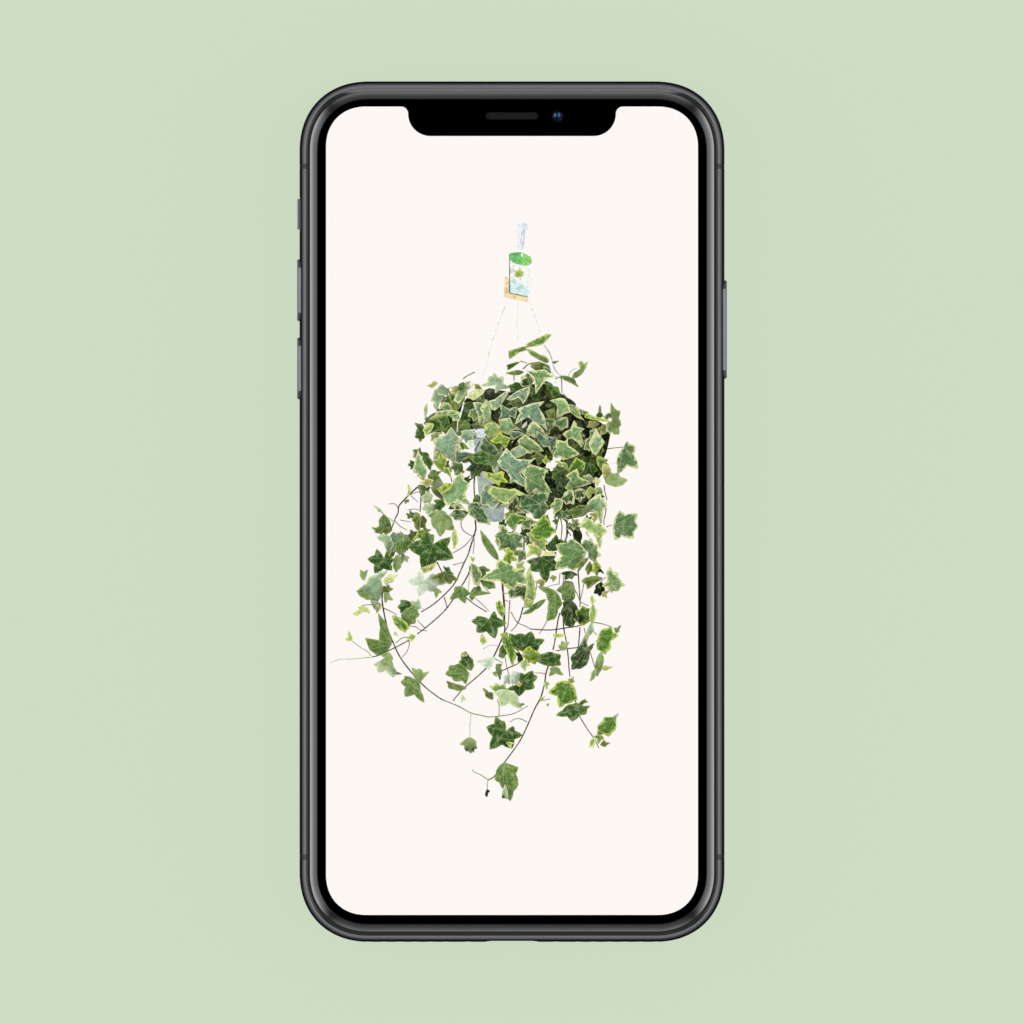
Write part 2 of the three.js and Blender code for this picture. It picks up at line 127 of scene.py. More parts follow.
def body_outline(inset):
    width, height = BODY_WIDTH - 2 * inset, BODY_HEIGHT - 2 * inset
    return soft_rectangle(width, height, CORNER_RADIUS - inset, power=CORNER_POWER)


def stadium(length, height, centre=(0, 0), steps=12):
    return soft_rectangle(length, height, min(length, height) / 2, centre, steps=steps)


def circle(radius, centre=(0, 0), steps=12):
    return soft_rectangle(2 * radius, 2 * radius, radius, centre, steps=steps)


def flat(points, z):
    """An outline laid level at a height."""
    return [(x, y, z) for x, y in points]


def facing_x(points, x):
    """An outline stood up across X: its own axes become Y and Z."""
    return [(x, y, z) for y, z in points]


def facing_y(points, y):
    """An outline stood up across Y: its own axes become Z and X."""
    return [(x, y, z) for z, x in points]


print(f"The body's outline has {len(body_outline(0))} points")

# %% [markdown]
# ## Lofting by extrusion
#
# Most pieces are slabs with shaped rims. A loft starts as one flat ring of points. It is extruded, and
# the new ring is moved to its own place, again and again, as one does by hand with E and S. Each point
# carries its number in the ring, so the script knows where every new point belongs.

# %% Loft and cut
def select_none():
    if bpy.context.mode != "OBJECT":
        bpy.ops.object.mode_set(mode="OBJECT")
    bpy.ops.object.select_all(action="DESELECT")


def make_active(piece):
    select_none()
    piece.select_set(True)
    bpy.context.view_layer.objects.active = piece


def loft(name, rings, band=False):
    """A closed solid through rings of points. A band is a loop: its last ring joins its first."""
    select_none()
    fill = "NOTHING" if band else "NGON"
    bpy.ops.mesh.primitive_circle_add(vertices=len(rings[0]), radius=0.01, fill_type=fill)
    piece = bpy.context.object
    piece.name = piece.data.name = name
    bpy.ops.object.mode_set(mode="EDIT")
    bpy.ops.mesh.select_all(action="SELECT")
    edit = bmesh.from_edit_mesh(piece.data)
    place = edit.verts.layers.int.new("place")
    edit.verts.ensure_lookup_table()
    for i, vertex in enumerate(edit.verts):
        vertex[place] = i
        vertex.co = Vector(rings[0][i]) * MM
    first = list(range(len(rings[0])))
    for ring in rings[1:]:
        bpy.ops.mesh.extrude_region_move()
        edit = bmesh.from_edit_mesh(piece.data)
        place = edit.verts.layers.int["place"]
        for vertex in edit.verts:
            if vertex.select:
                vertex.co = Vector(ring[vertex[place]]) * MM
    if band:
        edit.verts.ensure_lookup_table()
        for i in first:
            edit.verts[i].select = True
        edit.select_flush(True)
        open_edges = [edge for edge in edit.edges if edge.is_boundary]
        bpy.ops.mesh.select_all(action="DESELECT")
        for edge in open_edges:
            edge.select = True
        bpy.ops.mesh.bridge_edge_loops()
    bpy.ops.mesh.select_all(action="SELECT")
    bpy.ops.mesh.normals_make_consistent(inside=False)
    bpy.ops.object.mode_set(mode="OBJECT")
    return piece


def prism(points, low, high, stand=flat):
    return loft("cutter", [stand(points, low), stand(points, high)])


def copy_of(piece, name):
    made = piece.copy()
    made.data = piece.data.copy()
    made.name = made.data.name = name
    bpy.context.scene.collection.objects.link(made)
    return made


def boolean(piece, operation, *tools):
    """Cuts, joins or crosses a piece with tools, which are used up."""
    for tool in tools:
        modifier = piece.modifiers.new("cut", "BOOLEAN")
        modifier.operation = operation
        modifier.solver = "EXACT"
        modifier.object = tool
        make_active(piece)
        bpy.ops.object.modifier_apply(modifier="cut")
        bpy.data.objects.remove(tool)
    return piece


def cut(piece, *tools):
    return boolean(piece, "DIFFERENCE", *tools)


def finish(piece, material, replaced=(), body="phone", smooth=35):
    """Gives a piece its surface, and puts it in the frame."""
    make_active(piece)
    if smooth:
        bpy.ops.object.shade_smooth_by_angle(angle=math.radians(smooth))
    if not piece.data.materials:
        piece.data.materials.append(material)
    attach(piece, body)
    if replaced:
        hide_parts(*([replaced] if isinstance(replaced, str) else replaced))
    select_none()
    return piece


# %% [markdown]
# ## Shared shader effects
#
# No real surface has one colour all over. Metal has faint streaks, glass has the film that fingers
# leave, and moulded plastic has a fine grain. The first group below breaks a colour and a roughness up
# with noise, and the second makes the small height changes that catch light.

# %% Node helpers
def new_group(name, inputs, outputs):
    """An empty shader node group with named sockets, as (name, kind, default value)."""
    group = bpy.data.node_groups.new(name, "ShaderNodeTree")
    for side, sockets in (("INPUT", inputs), ("OUTPUT", outputs)):
        for socket, kind, value in sockets:
            made = group.interface.new_socket(socket, in_out=side, socket_type="NodeSocket" + kind)
            if value is not None:
                made.default_value = value
    return group, group.nodes.new("NodeGroupInput"), group.nodes.new("NodeGroupOutput")


def add_node(tree, kind, links=None, **settings):
    """A node with its settings, and its inputs linked to sockets or set to values."""
    made = tree.nodes.new("ShaderNode" + kind)
    for key, value in settings.items():
        setattr(made, key, value)
    for key, value in (links or {}).items():
        socket = made.inputs[key]
        if isinstance(value, bpy.types.NodeSocket):
            tree.links.new(value, socket)
        else:
            socket.default_value = value
    return made


def maths(tree, operation, a, b=0.0, clamp=False):
    return add_node(tree, "Math", {0: a, 1: b}, operation=operation, use_clamp=clamp).outputs[0]


def blend_colors(tree, factor, a, b, mode="MIX"):
    made = add_node(tree, "Mix", {"Factor": factor}, data_type="RGBA", blend_type=mode)
    for key, value in ((6, a), (7, b)):
        if isinstance(value, bpy.types.NodeSocket):
            tree.links.new(value, made.inputs[key])
        else:
            made.inputs[key].default_value = (*value[:3], 1)
    return made.outputs[2]


def ramp(tree, value, stops):
    """A colour ramp: stops are (place, grey) or (place, (r, g, b))."""
    made = add_node(tree, "ValToRGB", {"Fac": value})
    elements = made.color_ramp.elements
    while len(elements) < len(stops):
        elements.new(0.5)
    for element, (place, color) in zip(elements, stops):
        element.position = place
        element.color = (*color, 1) if isinstance(color, tuple) else (color, color, color, 1)
    return made.outputs["Color"]


def between(tree, value, low, high, to_low=0.0, to_high=1.0):
    """Maps a value smoothly from one range to another."""
    made = add_node(
        tree, "MapRange",
        {"Value": value, "From Min": low, "From Max": high, "To Min": to_low, "To Max": to_high},
        interpolation_type="SMOOTHSTEP")
    return made.outputs["Result"]


# %% The two groups
def make_variation():
    """Breaks up a colour and a roughness with noise in the object's own space."""
    group, given, result = new_group(
        "surface_variation",
        [("Color", "Color", None), ("Color Spread", "Float", 0.1), ("Roughness", "Float", 0.3),
         ("Roughness Spread", "Float", 0.05), ("Scale", "Float", 200.0), ("Stretch", "Vector", (1, 1, 1))],
        [("Color", "Color", None), ("Roughness", "Float", None), ("Noise", "Float", None)])
    place = add_node(group, "TexCoord").outputs["Object"]
    stretched = add_node(group, "VectorMath", {0: place, 1: given.outputs["Stretch"]}, operation="MULTIPLY")
    noise = add_node(
        group, "TexNoise", {"Vector": stretched.outputs[0], "Scale": given.outputs["Scale"], "Detail": 5.0})
    centred = maths(group, "SUBTRACT", noise.outputs["Fac"], 0.5)
    change = maths(group, "MULTIPLY", centred, given.outputs["Color Spread"])
    factor = maths(group, "ADD", change, 1.0)
    color = add_node(group, "VectorMath", {0: given.outputs["Color"], "Scale": factor}, operation="SCALE")
    change = maths(group, "MULTIPLY", centred, given.outputs["Roughness Spread"])
    group.links.new(color.outputs[0], result.inputs["Color"])
    changed = maths(group, "ADD", change, given.outputs["Roughness"], clamp=True)
    group.links.new(changed, result.inputs["Roughness"])
    group.links.new(noise.outputs["Fac"], result.inputs["Noise"])
    return group


def make_grain():
    """Fine height changes, as a normal: noise stretched along one axis for brushing, or round for grain."""
    group, given, result = new_group(
        "fine_grain",
        [("Scale", "Float", 2000.0), ("Depth", "Float", 0.1), ("Stretch", "Vector", (1, 1, 1))],
        [("Normal", "Vector", None), ("Height", "Float", None)])
    place = add_node(group, "TexCoord").outputs["Object"]
    stretched = add_node(group, "VectorMath", {0: place, 1: given.outputs["Stretch"]}, operation="MULTIPLY")
    noise = add_node(
        group, "TexNoise", {"Vector": stretched.outputs[0], "Scale": given.outputs["Scale"], "Detail": 3.0})
    bump = add_node(
        group, "Bump", {"Height": noise.outputs["Fac"], "Strength": given.outputs["Depth"], "Distance": 2e-5})
    group.links.new(bump.outputs["Normal"], result.inputs["Normal"])
    group.links.new(noise.outputs["Fac"], result.inputs["Height"])
    return group


VARIATION = make_variation()
GRAIN = make_grain()


def use_group(tree, group, **values):
    made = tree.nodes.new("ShaderNodeGroup")
    made.node_tree = group
    for key, value in values.items():
        socket = made.inputs[key.replace("_", " ")]
        if isinstance(value, bpy.types.NodeSocket):
            tree.links.new(value, socket)
        else:
            socket.default_value = (*value, 1) if socket.type == "RGBA" else value
    return made.outputs


def new_material(name):
    """A material with nodes: its tree and its Principled BSDF."""
    material = bpy.data.materials.new(name)
    material.use_nodes = True
    return material, material.node_tree, material.node_tree.nodes["Principled BSDF"]


def surface(name, color, roughness, metallic=0.0, spread=0.15, scale=300.0, grain=0.1, grain_scale=3000.0,
            stretch=(1, 1, 1), **sockets):
    """A finish of one material all over: varied colour and roughness, and a fine grain."""
    material, tree, shader = new_material(name)
    varied = use_group(
        tree, VARIATION, Color=color, Color_Spread=spread,
        Roughness=roughness, Roughness_Spread=roughness * 0.6,
        Scale=scale, Stretch=stretch)
    grained = use_group(tree, GRAIN, Scale=grain_scale, Depth=grain, Stretch=stretch)
    tree.links.new(varied["Color"], shader.inputs["Base Color"])
    tree.links.new(varied["Roughness"], shader.inputs["Roughness"])
    tree.links.new(grained["Normal"], shader.inputs["Normal"])
    shader.inputs["Metallic"].default_value = metallic
    for key, value in sockets.items():
        shader.inputs[key.replace("_", " ")].default_value = value
    return material


print("Shader groups:", [group.name for group in bpy.data.node_groups])

# %% [markdown]
# ## Polished metal of the rail
#
# Seen from above, the rail is a dark line outside, a lighter purple-grey band on its shoulder and a
# dark seam at the glass. The dark line is painted shade along the middle of the side, where it faces
# outwards, so the colour follows the height in the object's own space. The dark seam is painted shade
# too, weaker at the top end.

# %% Rail, keys and plastic breaks
# The dark colour is painted shade along the outward middle of the rail; the light one is the metal's own
# colour.
RAIL_PAINTED_SHADE = (0.1, 0.097, 0.125)
RAIL_LIGHT = (0.27, 0.247, 0.307)
SHOULDER = (1.95, 2.75)
LIP = (2.84, 2.98)
TOP_END = (69.6, 70.2)


def rail_material(name, dark, light, metallic, roughness, start, full, lip_shade_shares=(1.0, 1.0), **sockets):
    """Dark round the middle of the side, light from a height on, and a share of that at the lip.

    On the rail and the breaks the dark colour is painted shade, and on the keys the light colour is a
    painted highlight. The lip's share is painted shade at the seam. It is given for the sides and for the
    top end, where the lip is lighter.
    """
    material, tree, shader = new_material(name)
    place = add_node(tree, "TexCoord").outputs["Object"]
    parts = add_node(tree, "SeparateXYZ", {0: place}).outputs
    off_middle = maths(tree, "ABSOLUTE", maths(tree, "SUBTRACT", parts["Z"], MIDDLE_Z * MM))
    shoulder = between(tree, off_middle, start * MM, full * MM)
    # Blends in painted shade round the middle of the side, or on the keys a painted highlight at the rim.
    color = blend_colors(tree, shoulder, dark, light)
    # Painted shade at the lip by the glass, weaker at the top end.
    share = between(tree, parts["Y"], TOP_END[0] * MM, TOP_END[1] * MM, *lip_shade_shares)
    lip = between(tree, off_middle, LIP[0] * MM, LIP[1] * MM, 1.0, share)
    color = add_node(tree, "VectorMath", {0: color, "Scale": lip}, operation="SCALE").outputs[0]
    varied = use_group(
        tree, VARIATION, Color=color, Color_Spread=0.12,
        Roughness=roughness, Roughness_Spread=0.08, Scale=260.0)
    grained = use_group(tree, GRAIN, Scale=2600.0, Depth=0.05, Stretch=(1, 1, 8))
    tree.links.new(varied["Color"], shader.inputs["Base Color"])
    tree.links.new(varied["Roughness"], shader.inputs["Roughness"])
    tree.links.new(grained["Normal"], shader.inputs["Normal"])
    shader.inputs["Metallic"].default_value = metallic
    for key, value in sockets.items():
        shader.inputs[key.replace("_", " ")].default_value = value
    return material


EDGE_TINT = (0.12, 0.12, 0.14, 1)
# The rail gets painted shade round the middle of its side and at the lip.
RAIL_METAL = rail_material(
    "rail_metal", RAIL_PAINTED_SHADE, RAIL_LIGHT, 1.0, 0.24, *SHOULDER, lip_shade_shares=(0.22, 0.85),
    Specular_Tint=EDGE_TINT)
# The keys' light colour is a painted highlight along the top and bottom of the cap.
KEY_METAL = rail_material(
    "key_metal", (0.2, 0.19, 0.235), (0.8, 0.77, 0.9), 1.0, 0.55, 1.485, 1.499, Specular_Tint=EDGE_TINT)
# The breaks get painted shade round the middle of the side and at the lip, as the rail does.
BREAK_PLASTIC = rail_material(
    "break_plastic", (0.006, 0.006, 0.007), (0.12, 0.115, 0.135), 0.0, 0.6, 1.9, 2.84, lip_shade_shares=(0.6, 0.6),
    Specular_IOR_Level=0.06)
SWITCH_METAL = surface("switch_metal", (0.34, 0.33, 0.38), 0.5, 1.0, spread=0.1, grain=0.05)

# %% [markdown]
# ## Glass
#
# The front glass is clear, with a polished, mirror-coated edge that curves down to the rail. The back
# is black glass. Both carry a faint film of fingerprints, so their roughness is not the same all over.

# %% Clear, edge and black glass
def clear_glass():
    material, tree, shader = new_material("clear_glass")
    film = use_group(
        tree, VARIATION, Color=(1.0, 1.0, 1.0), Color_Spread=0.004, Roughness=0.004, Roughness_Spread=0.008,
        Scale=90.0)
    tree.links.new(film["Color"], shader.inputs["Base Color"])
    tree.links.new(film["Roughness"], shader.inputs["Roughness"])
    shader.inputs["Transmission Weight"].default_value = 1.0
    shader.inputs["IOR"].default_value = 1.45
    return material


def edge_glass():
    material, tree, shader = new_material("edge_glass")
    place = add_node(tree, "TexCoord").outputs["Object"]
    height = add_node(tree, "SeparateXYZ", {0: place}).outputs["Z"]
    climb = between(tree, height, 7.2 * MM, 7.68 * MM)
    color = blend_colors(tree, climb, (0.36, 0.36, 0.355), (0.27, 0.27, 0.27))
    varied = use_group(
        tree, VARIATION, Color=color, Color_Spread=0.05, Roughness=0.1, Roughness_Spread=0.05, Scale=200.0)
    tree.links.new(varied["Color"], shader.inputs["Base Color"])
    tree.links.new(varied["Roughness"], shader.inputs["Roughness"])
    shader.inputs["Metallic"].default_value = 1.0
    shader.inputs["Specular Tint"].default_value = (0.4, 0.4, 0.4, 1)
    return material


def seal_rubber():
    """Black rubber, painted a lighter grey along the top end as painted light."""
    material, tree, shader = new_material("seal_rubber")
    place = add_node(tree, "TexCoord").outputs["Object"]
    up = add_node(tree, "SeparateXYZ", {0: place}).outputs["Y"]
    # Painted light: the top end of the seal is a lighter grey.
    is_top = between(tree, up, TOP_END[0] * MM, TOP_END[1] * MM)
    color = blend_colors(tree, is_top, (0.03, 0.03, 0.032), (0.34, 0.33, 0.35))
    varied = use_group(
        tree, VARIATION, Color=color, Color_Spread=0.3, Roughness=0.7, Roughness_Spread=0.2, Scale=300.0)
    grained = use_group(tree, GRAIN, Scale=3000.0, Depth=0.3, Stretch=(1, 1, 1))
    tree.links.new(varied["Color"], shader.inputs["Base Color"])
    tree.links.new(varied["Roughness"], shader.inputs["Roughness"])
    tree.links.new(grained["Normal"], shader.inputs["Normal"])
    return material


CLEAR_GLASS = clear_glass()
EDGE_GLASS = edge_glass()
SEAL_RUBBER = seal_rubber()
BLACK_GLASS = surface("black_glass", (0.006, 0.006, 0.007), 0.05, spread=0.3, scale=70.0, grain=0.01)
BLACK_PRINT = surface(
    "black_print", (0.0012, 0.0012, 0.0013), 0.6, spread=0.3, grain=0.05, Specular_IOR_Level=0.2)

# %% [markdown]
# ## The body and its rail
#
# The whole edge of the body is one curve, a flattened half ellipse, from the back glass round to the
# front glass. Each part of the edge is lofted along its own stretch of that curve, so the curve runs on
# from metal to glass without a step. The rail is a closed band: its outer face follows the curve, and
# its inner face has the two ledges that the glasses sit on.

# %% The curve of the edge and the rail
LIP_INSET = 1.3
SEAL_INSET = 1.32
SEAL_END_INSET = 1.71
GLASS_INSET = 1.75
BORDER_INSET = 1.85
RAIL_INSET = 2.2
EDGE_RISE = (BODY_THICKNESS - EDGE_FLAT) / 2
FRONT_SHELF = size_of("cover_seal")[0].z
BACK_SHELF = size_of("back_seal")[1].z
COVER_BOTTOM = size_of("cover_glass")[0].z
BACK_GLASS_TOP = size_of("back_glass")[1].z
BELOW, ABOVE = -1, BODY_THICKNESS + 1


def turn_at(inset):
    """How far round the quarter ellipse the curve reaches an inset."""
    return math.acos(1 - inset / EDGE_REACH)


def edge_rings(side, start, end):
    """Rings along one half of the curve. The side is 1 for the front half and -1 for the back half."""
    rings = []
    for i in range(EDGE_STEPS + 1):
        turn = start + (end - start) * i / EDGE_STEPS
        inset = EDGE_REACH * (1 - math.cos(turn))
        height = MIDDLE_Z + side * (EDGE_FLAT / 2 + EDGE_RISE * math.sin(turn))
        rings.append(flat(body_outline(inset), height))
    return rings


lip, ledge = body_outline(LIP_INSET), body_outline(RAIL_INSET)
outside = edge_rings(-1, turn_at(LIP_INSET), 0) + edge_rings(1, 0, turn_at(LIP_INSET))
inside = [flat(lip, FRONT_SHELF), flat(ledge, FRONT_SHELF), flat(ledge, BACK_SHELF), flat(lip, BACK_SHELF)]
rail = loft("rail", outside + inside, band=True)
print(f"The rail has {len(rail.data.polygons)} faces")

# %% [markdown]
# The rail has openings for the keys, the switch, the card tray, the socket, two screws and two rows of
# sound holes. Each is a prism that stands across the side or the end, and is cut out of its own length
# of rail. The lengths are sliced from the band by level planes, with the four plastic breaks between
# them, which let the antennas see out.

# %% Openings in the rail
KEY_HEIGHT = 3.0
KEY_GAP = 0.1
SWITCH_SLOT = (5.6, 2.8)
SWITCH_SLOT_Z = 3.9
SCREW_RADIUS = 0.75
SOUND_HOLES = 6
SOUND_HOLE_RADIUS = 0.75
SOUND_HOLE_START = 11
SOUND_HOLE_STEP = 2.6
HALF_WIDTH = BODY_WIDTH / 2
HALF_HEIGHT = BODY_HEIGHT / 2


def side_prism(points, side):
    inner, outer = side * (HALF_WIDTH - 3), side * (HALF_WIDTH + 1)
    return prism(points, inner, outer, facing_x)


def end_prism(points):
    return prism(points, -HALF_HEIGHT - 1, -HALF_HEIGHT + 3, facing_y)


def key_outline(node, grow=0.0):
    """The stadium of a key's cap, in Y and Z, worked out from its foot, which is 0.8 mm longer each way."""
    low, high, size = size_of(node)
    return stadium(size.y - 1.6 + 2 * grow, KEY_HEIGHT + 2 * grow, ((low.y + high.y) / 2, MIDDLE_Z))


def tray_outline(grow=0.0):
    low, high, size = size_of("card_tray")
    return stadium(size.y + 2 * grow, size.z + 2 * grow, ((low.y + high.y) / 2, MIDDLE_Z))


def socket_outline(grow=0.0):
    return stadium(2.6 + 2 * grow, 9.0 + 2 * grow, (MIDDLE_Z, 0))


KEYS = {"volume_up_key": -1, "volume_down_key": -1, "side_key": 1}
screw_low, screw_high, screw_size = size_of("bottom_screw_right")
SCREW_X = (screw_low.x + screw_high.x) / 2
switch_low, switch_high, switch_size = size_of("ring_switch")
SWITCH_Y = (switch_low.y + switch_high.y) / 2


def left_openings():
    made = [side_prism(key_outline(node, KEY_GAP), side) for node, side in KEYS.items() if side < 0]
    slot = soft_rectangle(*SWITCH_SLOT, 0.8, (SWITCH_Y, SWITCH_SLOT_Z), steps=8)
    return made + [side_prism(slot, -1)]


def right_openings():
    return [side_prism(key_outline("side_key", KEY_GAP), 1), side_prism(tray_outline(KEY_GAP), 1)]


def bottom_openings():
    made = [end_prism(socket_outline(0.1))]
    for side in (-1, 1):
        made.append(end_prism(circle(SCREW_RADIUS + 0.1, (MIDDLE_Z, side * SCREW_X))))
        for i in range(SOUND_HOLES):
            x = side * (SOUND_HOLE_START + i * SOUND_HOLE_STEP)
            made.append(end_prism(circle(SOUND_HOLE_RADIUS, (MIDDLE_Z, x), steps=6)))
    return made


print("Openings are cut in the left, the right and the bottom length")

# %% Divide the rail
OPENINGS = {"rail_left": left_openings, "rail_right": right_openings, "rail_bottom": bottom_openings}
BREAKS = [f"antenna_break_{end}_{side}" for end in ("top", "bottom") for side in ("left", "right")]


def slice_off(piece, place, away):
    """Cuts a piece with the plane through a place and drops the side that away points to."""
    make_active(piece)
    bpy.ops.object.mode_set(mode="EDIT")
    bpy.ops.mesh.select_all(action="SELECT")
    bpy.ops.mesh.bisect(
        plane_co=Vector(place) * MM, plane_no=away, use_fill=True, clear_outer=True, threshold=1e-7)
    bpy.ops.object.mode_set(mode="OBJECT")


def length_of_rail(node, name):
    low, high, size = size_of(node)
    part = copy_of(rail, name)
    if high.y < HALF_HEIGHT - 1:
        slice_off(part, (0, high.y, 0), (0, 1, 0))
    if low.y > 1 - HALF_HEIGHT:
        slice_off(part, (0, low.y, 0), (0, -1, 0))
    if high.x < 0 or low.x > 0:
        slice_off(part, (0, 0, 0), (-math.copysign(1, low.x), 0, 0))
    return part


tray_face = boolean(
    length_of_rail("rail_right", "card_tray_face"), "INTERSECT", side_prism(tray_outline(-0.02), 1))
# The rail lengths and the breaks carry painted shade round the middle of the side and at the lip.
for node in ("rail_left", "rail_right", "rail_top", "rail_bottom"):
    part = length_of_rail(node, node + "_metal")
    if node in OPENINGS:
        cut(part, *OPENINGS[node]())
    finish(part, RAIL_METAL, node)
for node in BREAKS:
    finish(length_of_rail(node, node + "_plastic"), BREAK_PLASTIC, node)
bpy.data.objects.remove(rail)
print("Rail divided into 4 lengths and", len(BREAKS), "breaks")

# %% [markdown]
# ## Cover glass
#
# The cover glass is one solid sheet. Its flat part is clear, and its curved edge is coated, so the
# faces get one of two materials by whether they lie level, and the earpiece slot's walls stay clear. The
# earpiece slot goes through it.

# %% Cover glass and back glass
SENSOR_ROW_Y = (size_of("earpiece_grille")[0].y + size_of("earpiece_grille")[1].y) / 2
EARPIECE_SIZE = (8.96, 1.3)
EARPIECE = stadium(*EARPIECE_SIZE, (0, SENSOR_ROW_Y))

cover = loft("front_glass", [flat(body_outline(GLASS_INSET), COVER_BOTTOM)]
             + edge_rings(1, turn_at(GLASS_INSET), math.pi / 2))
cut(cover, prism(EARPIECE, BELOW, ABOVE))
cover.data.materials.append(CLEAR_GLASS)
cover.data.materials.append(EDGE_GLASS)
for face in cover.data.polygons:
    upright = abs(face.normal.z) < 0.9999
    in_slot = abs(face.center.x) < 6 * MM and abs(face.center.y / MM - SENSOR_ROW_Y) < 1.5
    face.material_index = 1 if upright and not in_slot else 0
finish(cover, CLEAR_GLASS, "cover_glass")

REAR_LOW, REAR_HIGH, REAR_SIZE = size_of("rear_camera_ring")
REAR_CENTRE = ((REAR_LOW.x + REAR_HIGH.x) / 2, (REAR_LOW.y + REAR_HIGH.y) / 2)


def rear_outline(grow=0.0):
    return stadium(REAR_SIZE.x + 2 * grow, REAR_SIZE.y + 2 * grow, REAR_CENTRE, steps=24)


back = loft("rear_glass", [flat(body_outline(GLASS_INSET), BACK_GLASS_TOP)]
            + edge_rings(-1, turn_at(GLASS_INSET), math.pi / 2))
cut(back, prism(rear_outline(0.05), BELOW, ABOVE))
finish(back, BLACK_GLASS, "back_glass")
print("Cover glass and back glass made")

# %% [markdown]
# ## What lies under the cover glass
#
# A black print hides everything but the lit area. Its opening has round corners, and the notch comes
# down into it from the top edge, with small flares where it leaves that edge.

# %% Black print with the screen's window
SCREEN_WIDTH = 62.07
SCREEN_HEIGHT = 134.9
SCREEN_RADIUS = 6.84
SCREEN_CENTRE_Y = 0.15
NOTCH_HALF_WIDTH = 17.33
NOTCH_DEPTH = 4.92
NOTCH_RADIUS = 3.7
NOTCH_FLARE = 1.2
FRONT_CAMERA_X = (size_of("front_camera")[0].x + size_of("front_camera")[1].x) / 2
PANEL_TOP = size_of("screen_panel")[1].z


def arc(centre, radius, start, end, steps=12):
    turns = [math.radians(start + (end - start) * i / steps) for i in range(steps + 1)]
    return [(centre[0] + radius * math.cos(t), centre[1] + radius * math.sin(t)) for t in turns]


def screen_window():
    """The lit area's outline, with the notch taken out of its top edge, anticlockwise."""
    lit = soft_rectangle(SCREEN_WIDTH, SCREEN_HEIGHT, SCREEN_RADIUS, (0, SCREEN_CENTRE_Y), CORNER_POWER)
    top = SCREEN_CENTRE_Y + SCREEN_HEIGHT / 2
    bottom, half, r, flare = top - NOTCH_DEPTH, NOTCH_HALF_WIDTH, NOTCH_RADIUS, NOTCH_FLARE
    notch = arc((half + flare, top - flare), flare, 90, 180)
    notch += arc((half - r, bottom + r), r, 0, -90)
    notch += arc((-half + r, bottom + r), r, -90, -180)
    notch += arc((-half - flare, top - flare), flare, 0, 90)
    quarter = len(lit) // 4
    return lit[:quarter] + notch + lit[quarter:]


border = prism(body_outline(BORDER_INSET), PANEL_TOP, COVER_BOTTOM)
border.name = border.data.name = "border_print"
cut(border, prism(screen_window(), BELOW, ABOVE), prism(EARPIECE, BELOW, ABOVE))
cut(border, prism(circle(1.15, (FRONT_CAMERA_X, SENSOR_ROW_Y), steps=16), BELOW, ABOVE))
finish(border, BLACK_PRINT, "screen_border")

# %% Seals round both glasses
for name, node, low, high in (("front_seal", "cover_seal", FRONT_SHELF, COVER_BOTTOM + 0.12),
                              ("rear_seal", "back_seal", BACK_GLASS_TOP - 0.1, BACK_SHELF)):
    outer, inner = body_outline(SEAL_INSET), body_outline(SEAL_END_INSET)
    seal = loft(name, [flat(outer, low), flat(outer, high), flat(inner, high), flat(inner, low)], band=True)
    finish(seal, SEAL_RUBBER, node)

# %% [markdown]
# ## The picture on the screen
#
# The lit screen shows a hanging pot of variegated ivy. A screen's picture is light and has no depth, so
# it is built like paper cuttings: each leaf is a flat piece that shines in its own colours, and the
# pieces lie one on another in the gap under the cover glass, less than a thousandth of a millimetre
# apart. Places in the picture are read off the photograph in its own pixels, and one function turns
# them into millimetres on the screen.

# %% From pixels to the screen
PICTURE_BOTTOM = PANEL_TOP + 0.01
PICTURE_TOP = COVER_BOTTOM - 0.02
PICTURE_LAYERS = 740


def on_screen(point):
    """A pixel of the photograph as millimetres on the screen."""
    return (point[0] - PHONE_CENTRE_PX[0]) * MM_PER_PX, (PHONE_CENTRE_PX[1] - point[1]) * MM_PER_PX


def layer_height(layer):
    return PICTURE_BOTTOM + (PICTURE_TOP - PICTURE_BOTTOM) * layer / PICTURE_LAYERS


def shown(red, green, blue):
    """A colour as a screen shows it, from 0 to 255, as linear light."""
    def linear(value):
        value /= 255
        return value / 12.92 if value <= 0.04045 else ((value + 0.055) / 1.055) ** 2.4
    return linear(red), linear(green), linear(blue)


print(f"Picture layers are {1000 * (layer_height(1) - layer_height(0)):.2f} micrometres apart")

# %% [markdown]
# One material paints every cutting. It reads what each point of the mesh knows about itself: its leaf's
# two colours, how far in from the edge it is, how far from a vein, and how much light it gets. Noise
# makes the pale margin ragged, as on the real leaf, and spreads darker patches between the veins.

# %% Material of the picture
SCREEN_WHITE = shown(252, 247, 243)
GLASS_LOSS = 1.075
SIDE_VEIN_STEP = 3.4


def as_screen_light(material, shader):
    """Makes a material only shine, a little more than it looks, for what the glass above it takes away."""
    shader.inputs["Emission Strength"].default_value = GLASS_LOSS
    shader.inputs["Base Color"].default_value = (0, 0, 0, 1)
    shader.inputs["Specular IOR Level"].default_value = 0.0
    material.cycles.emission_sampling = "NONE"
    return material


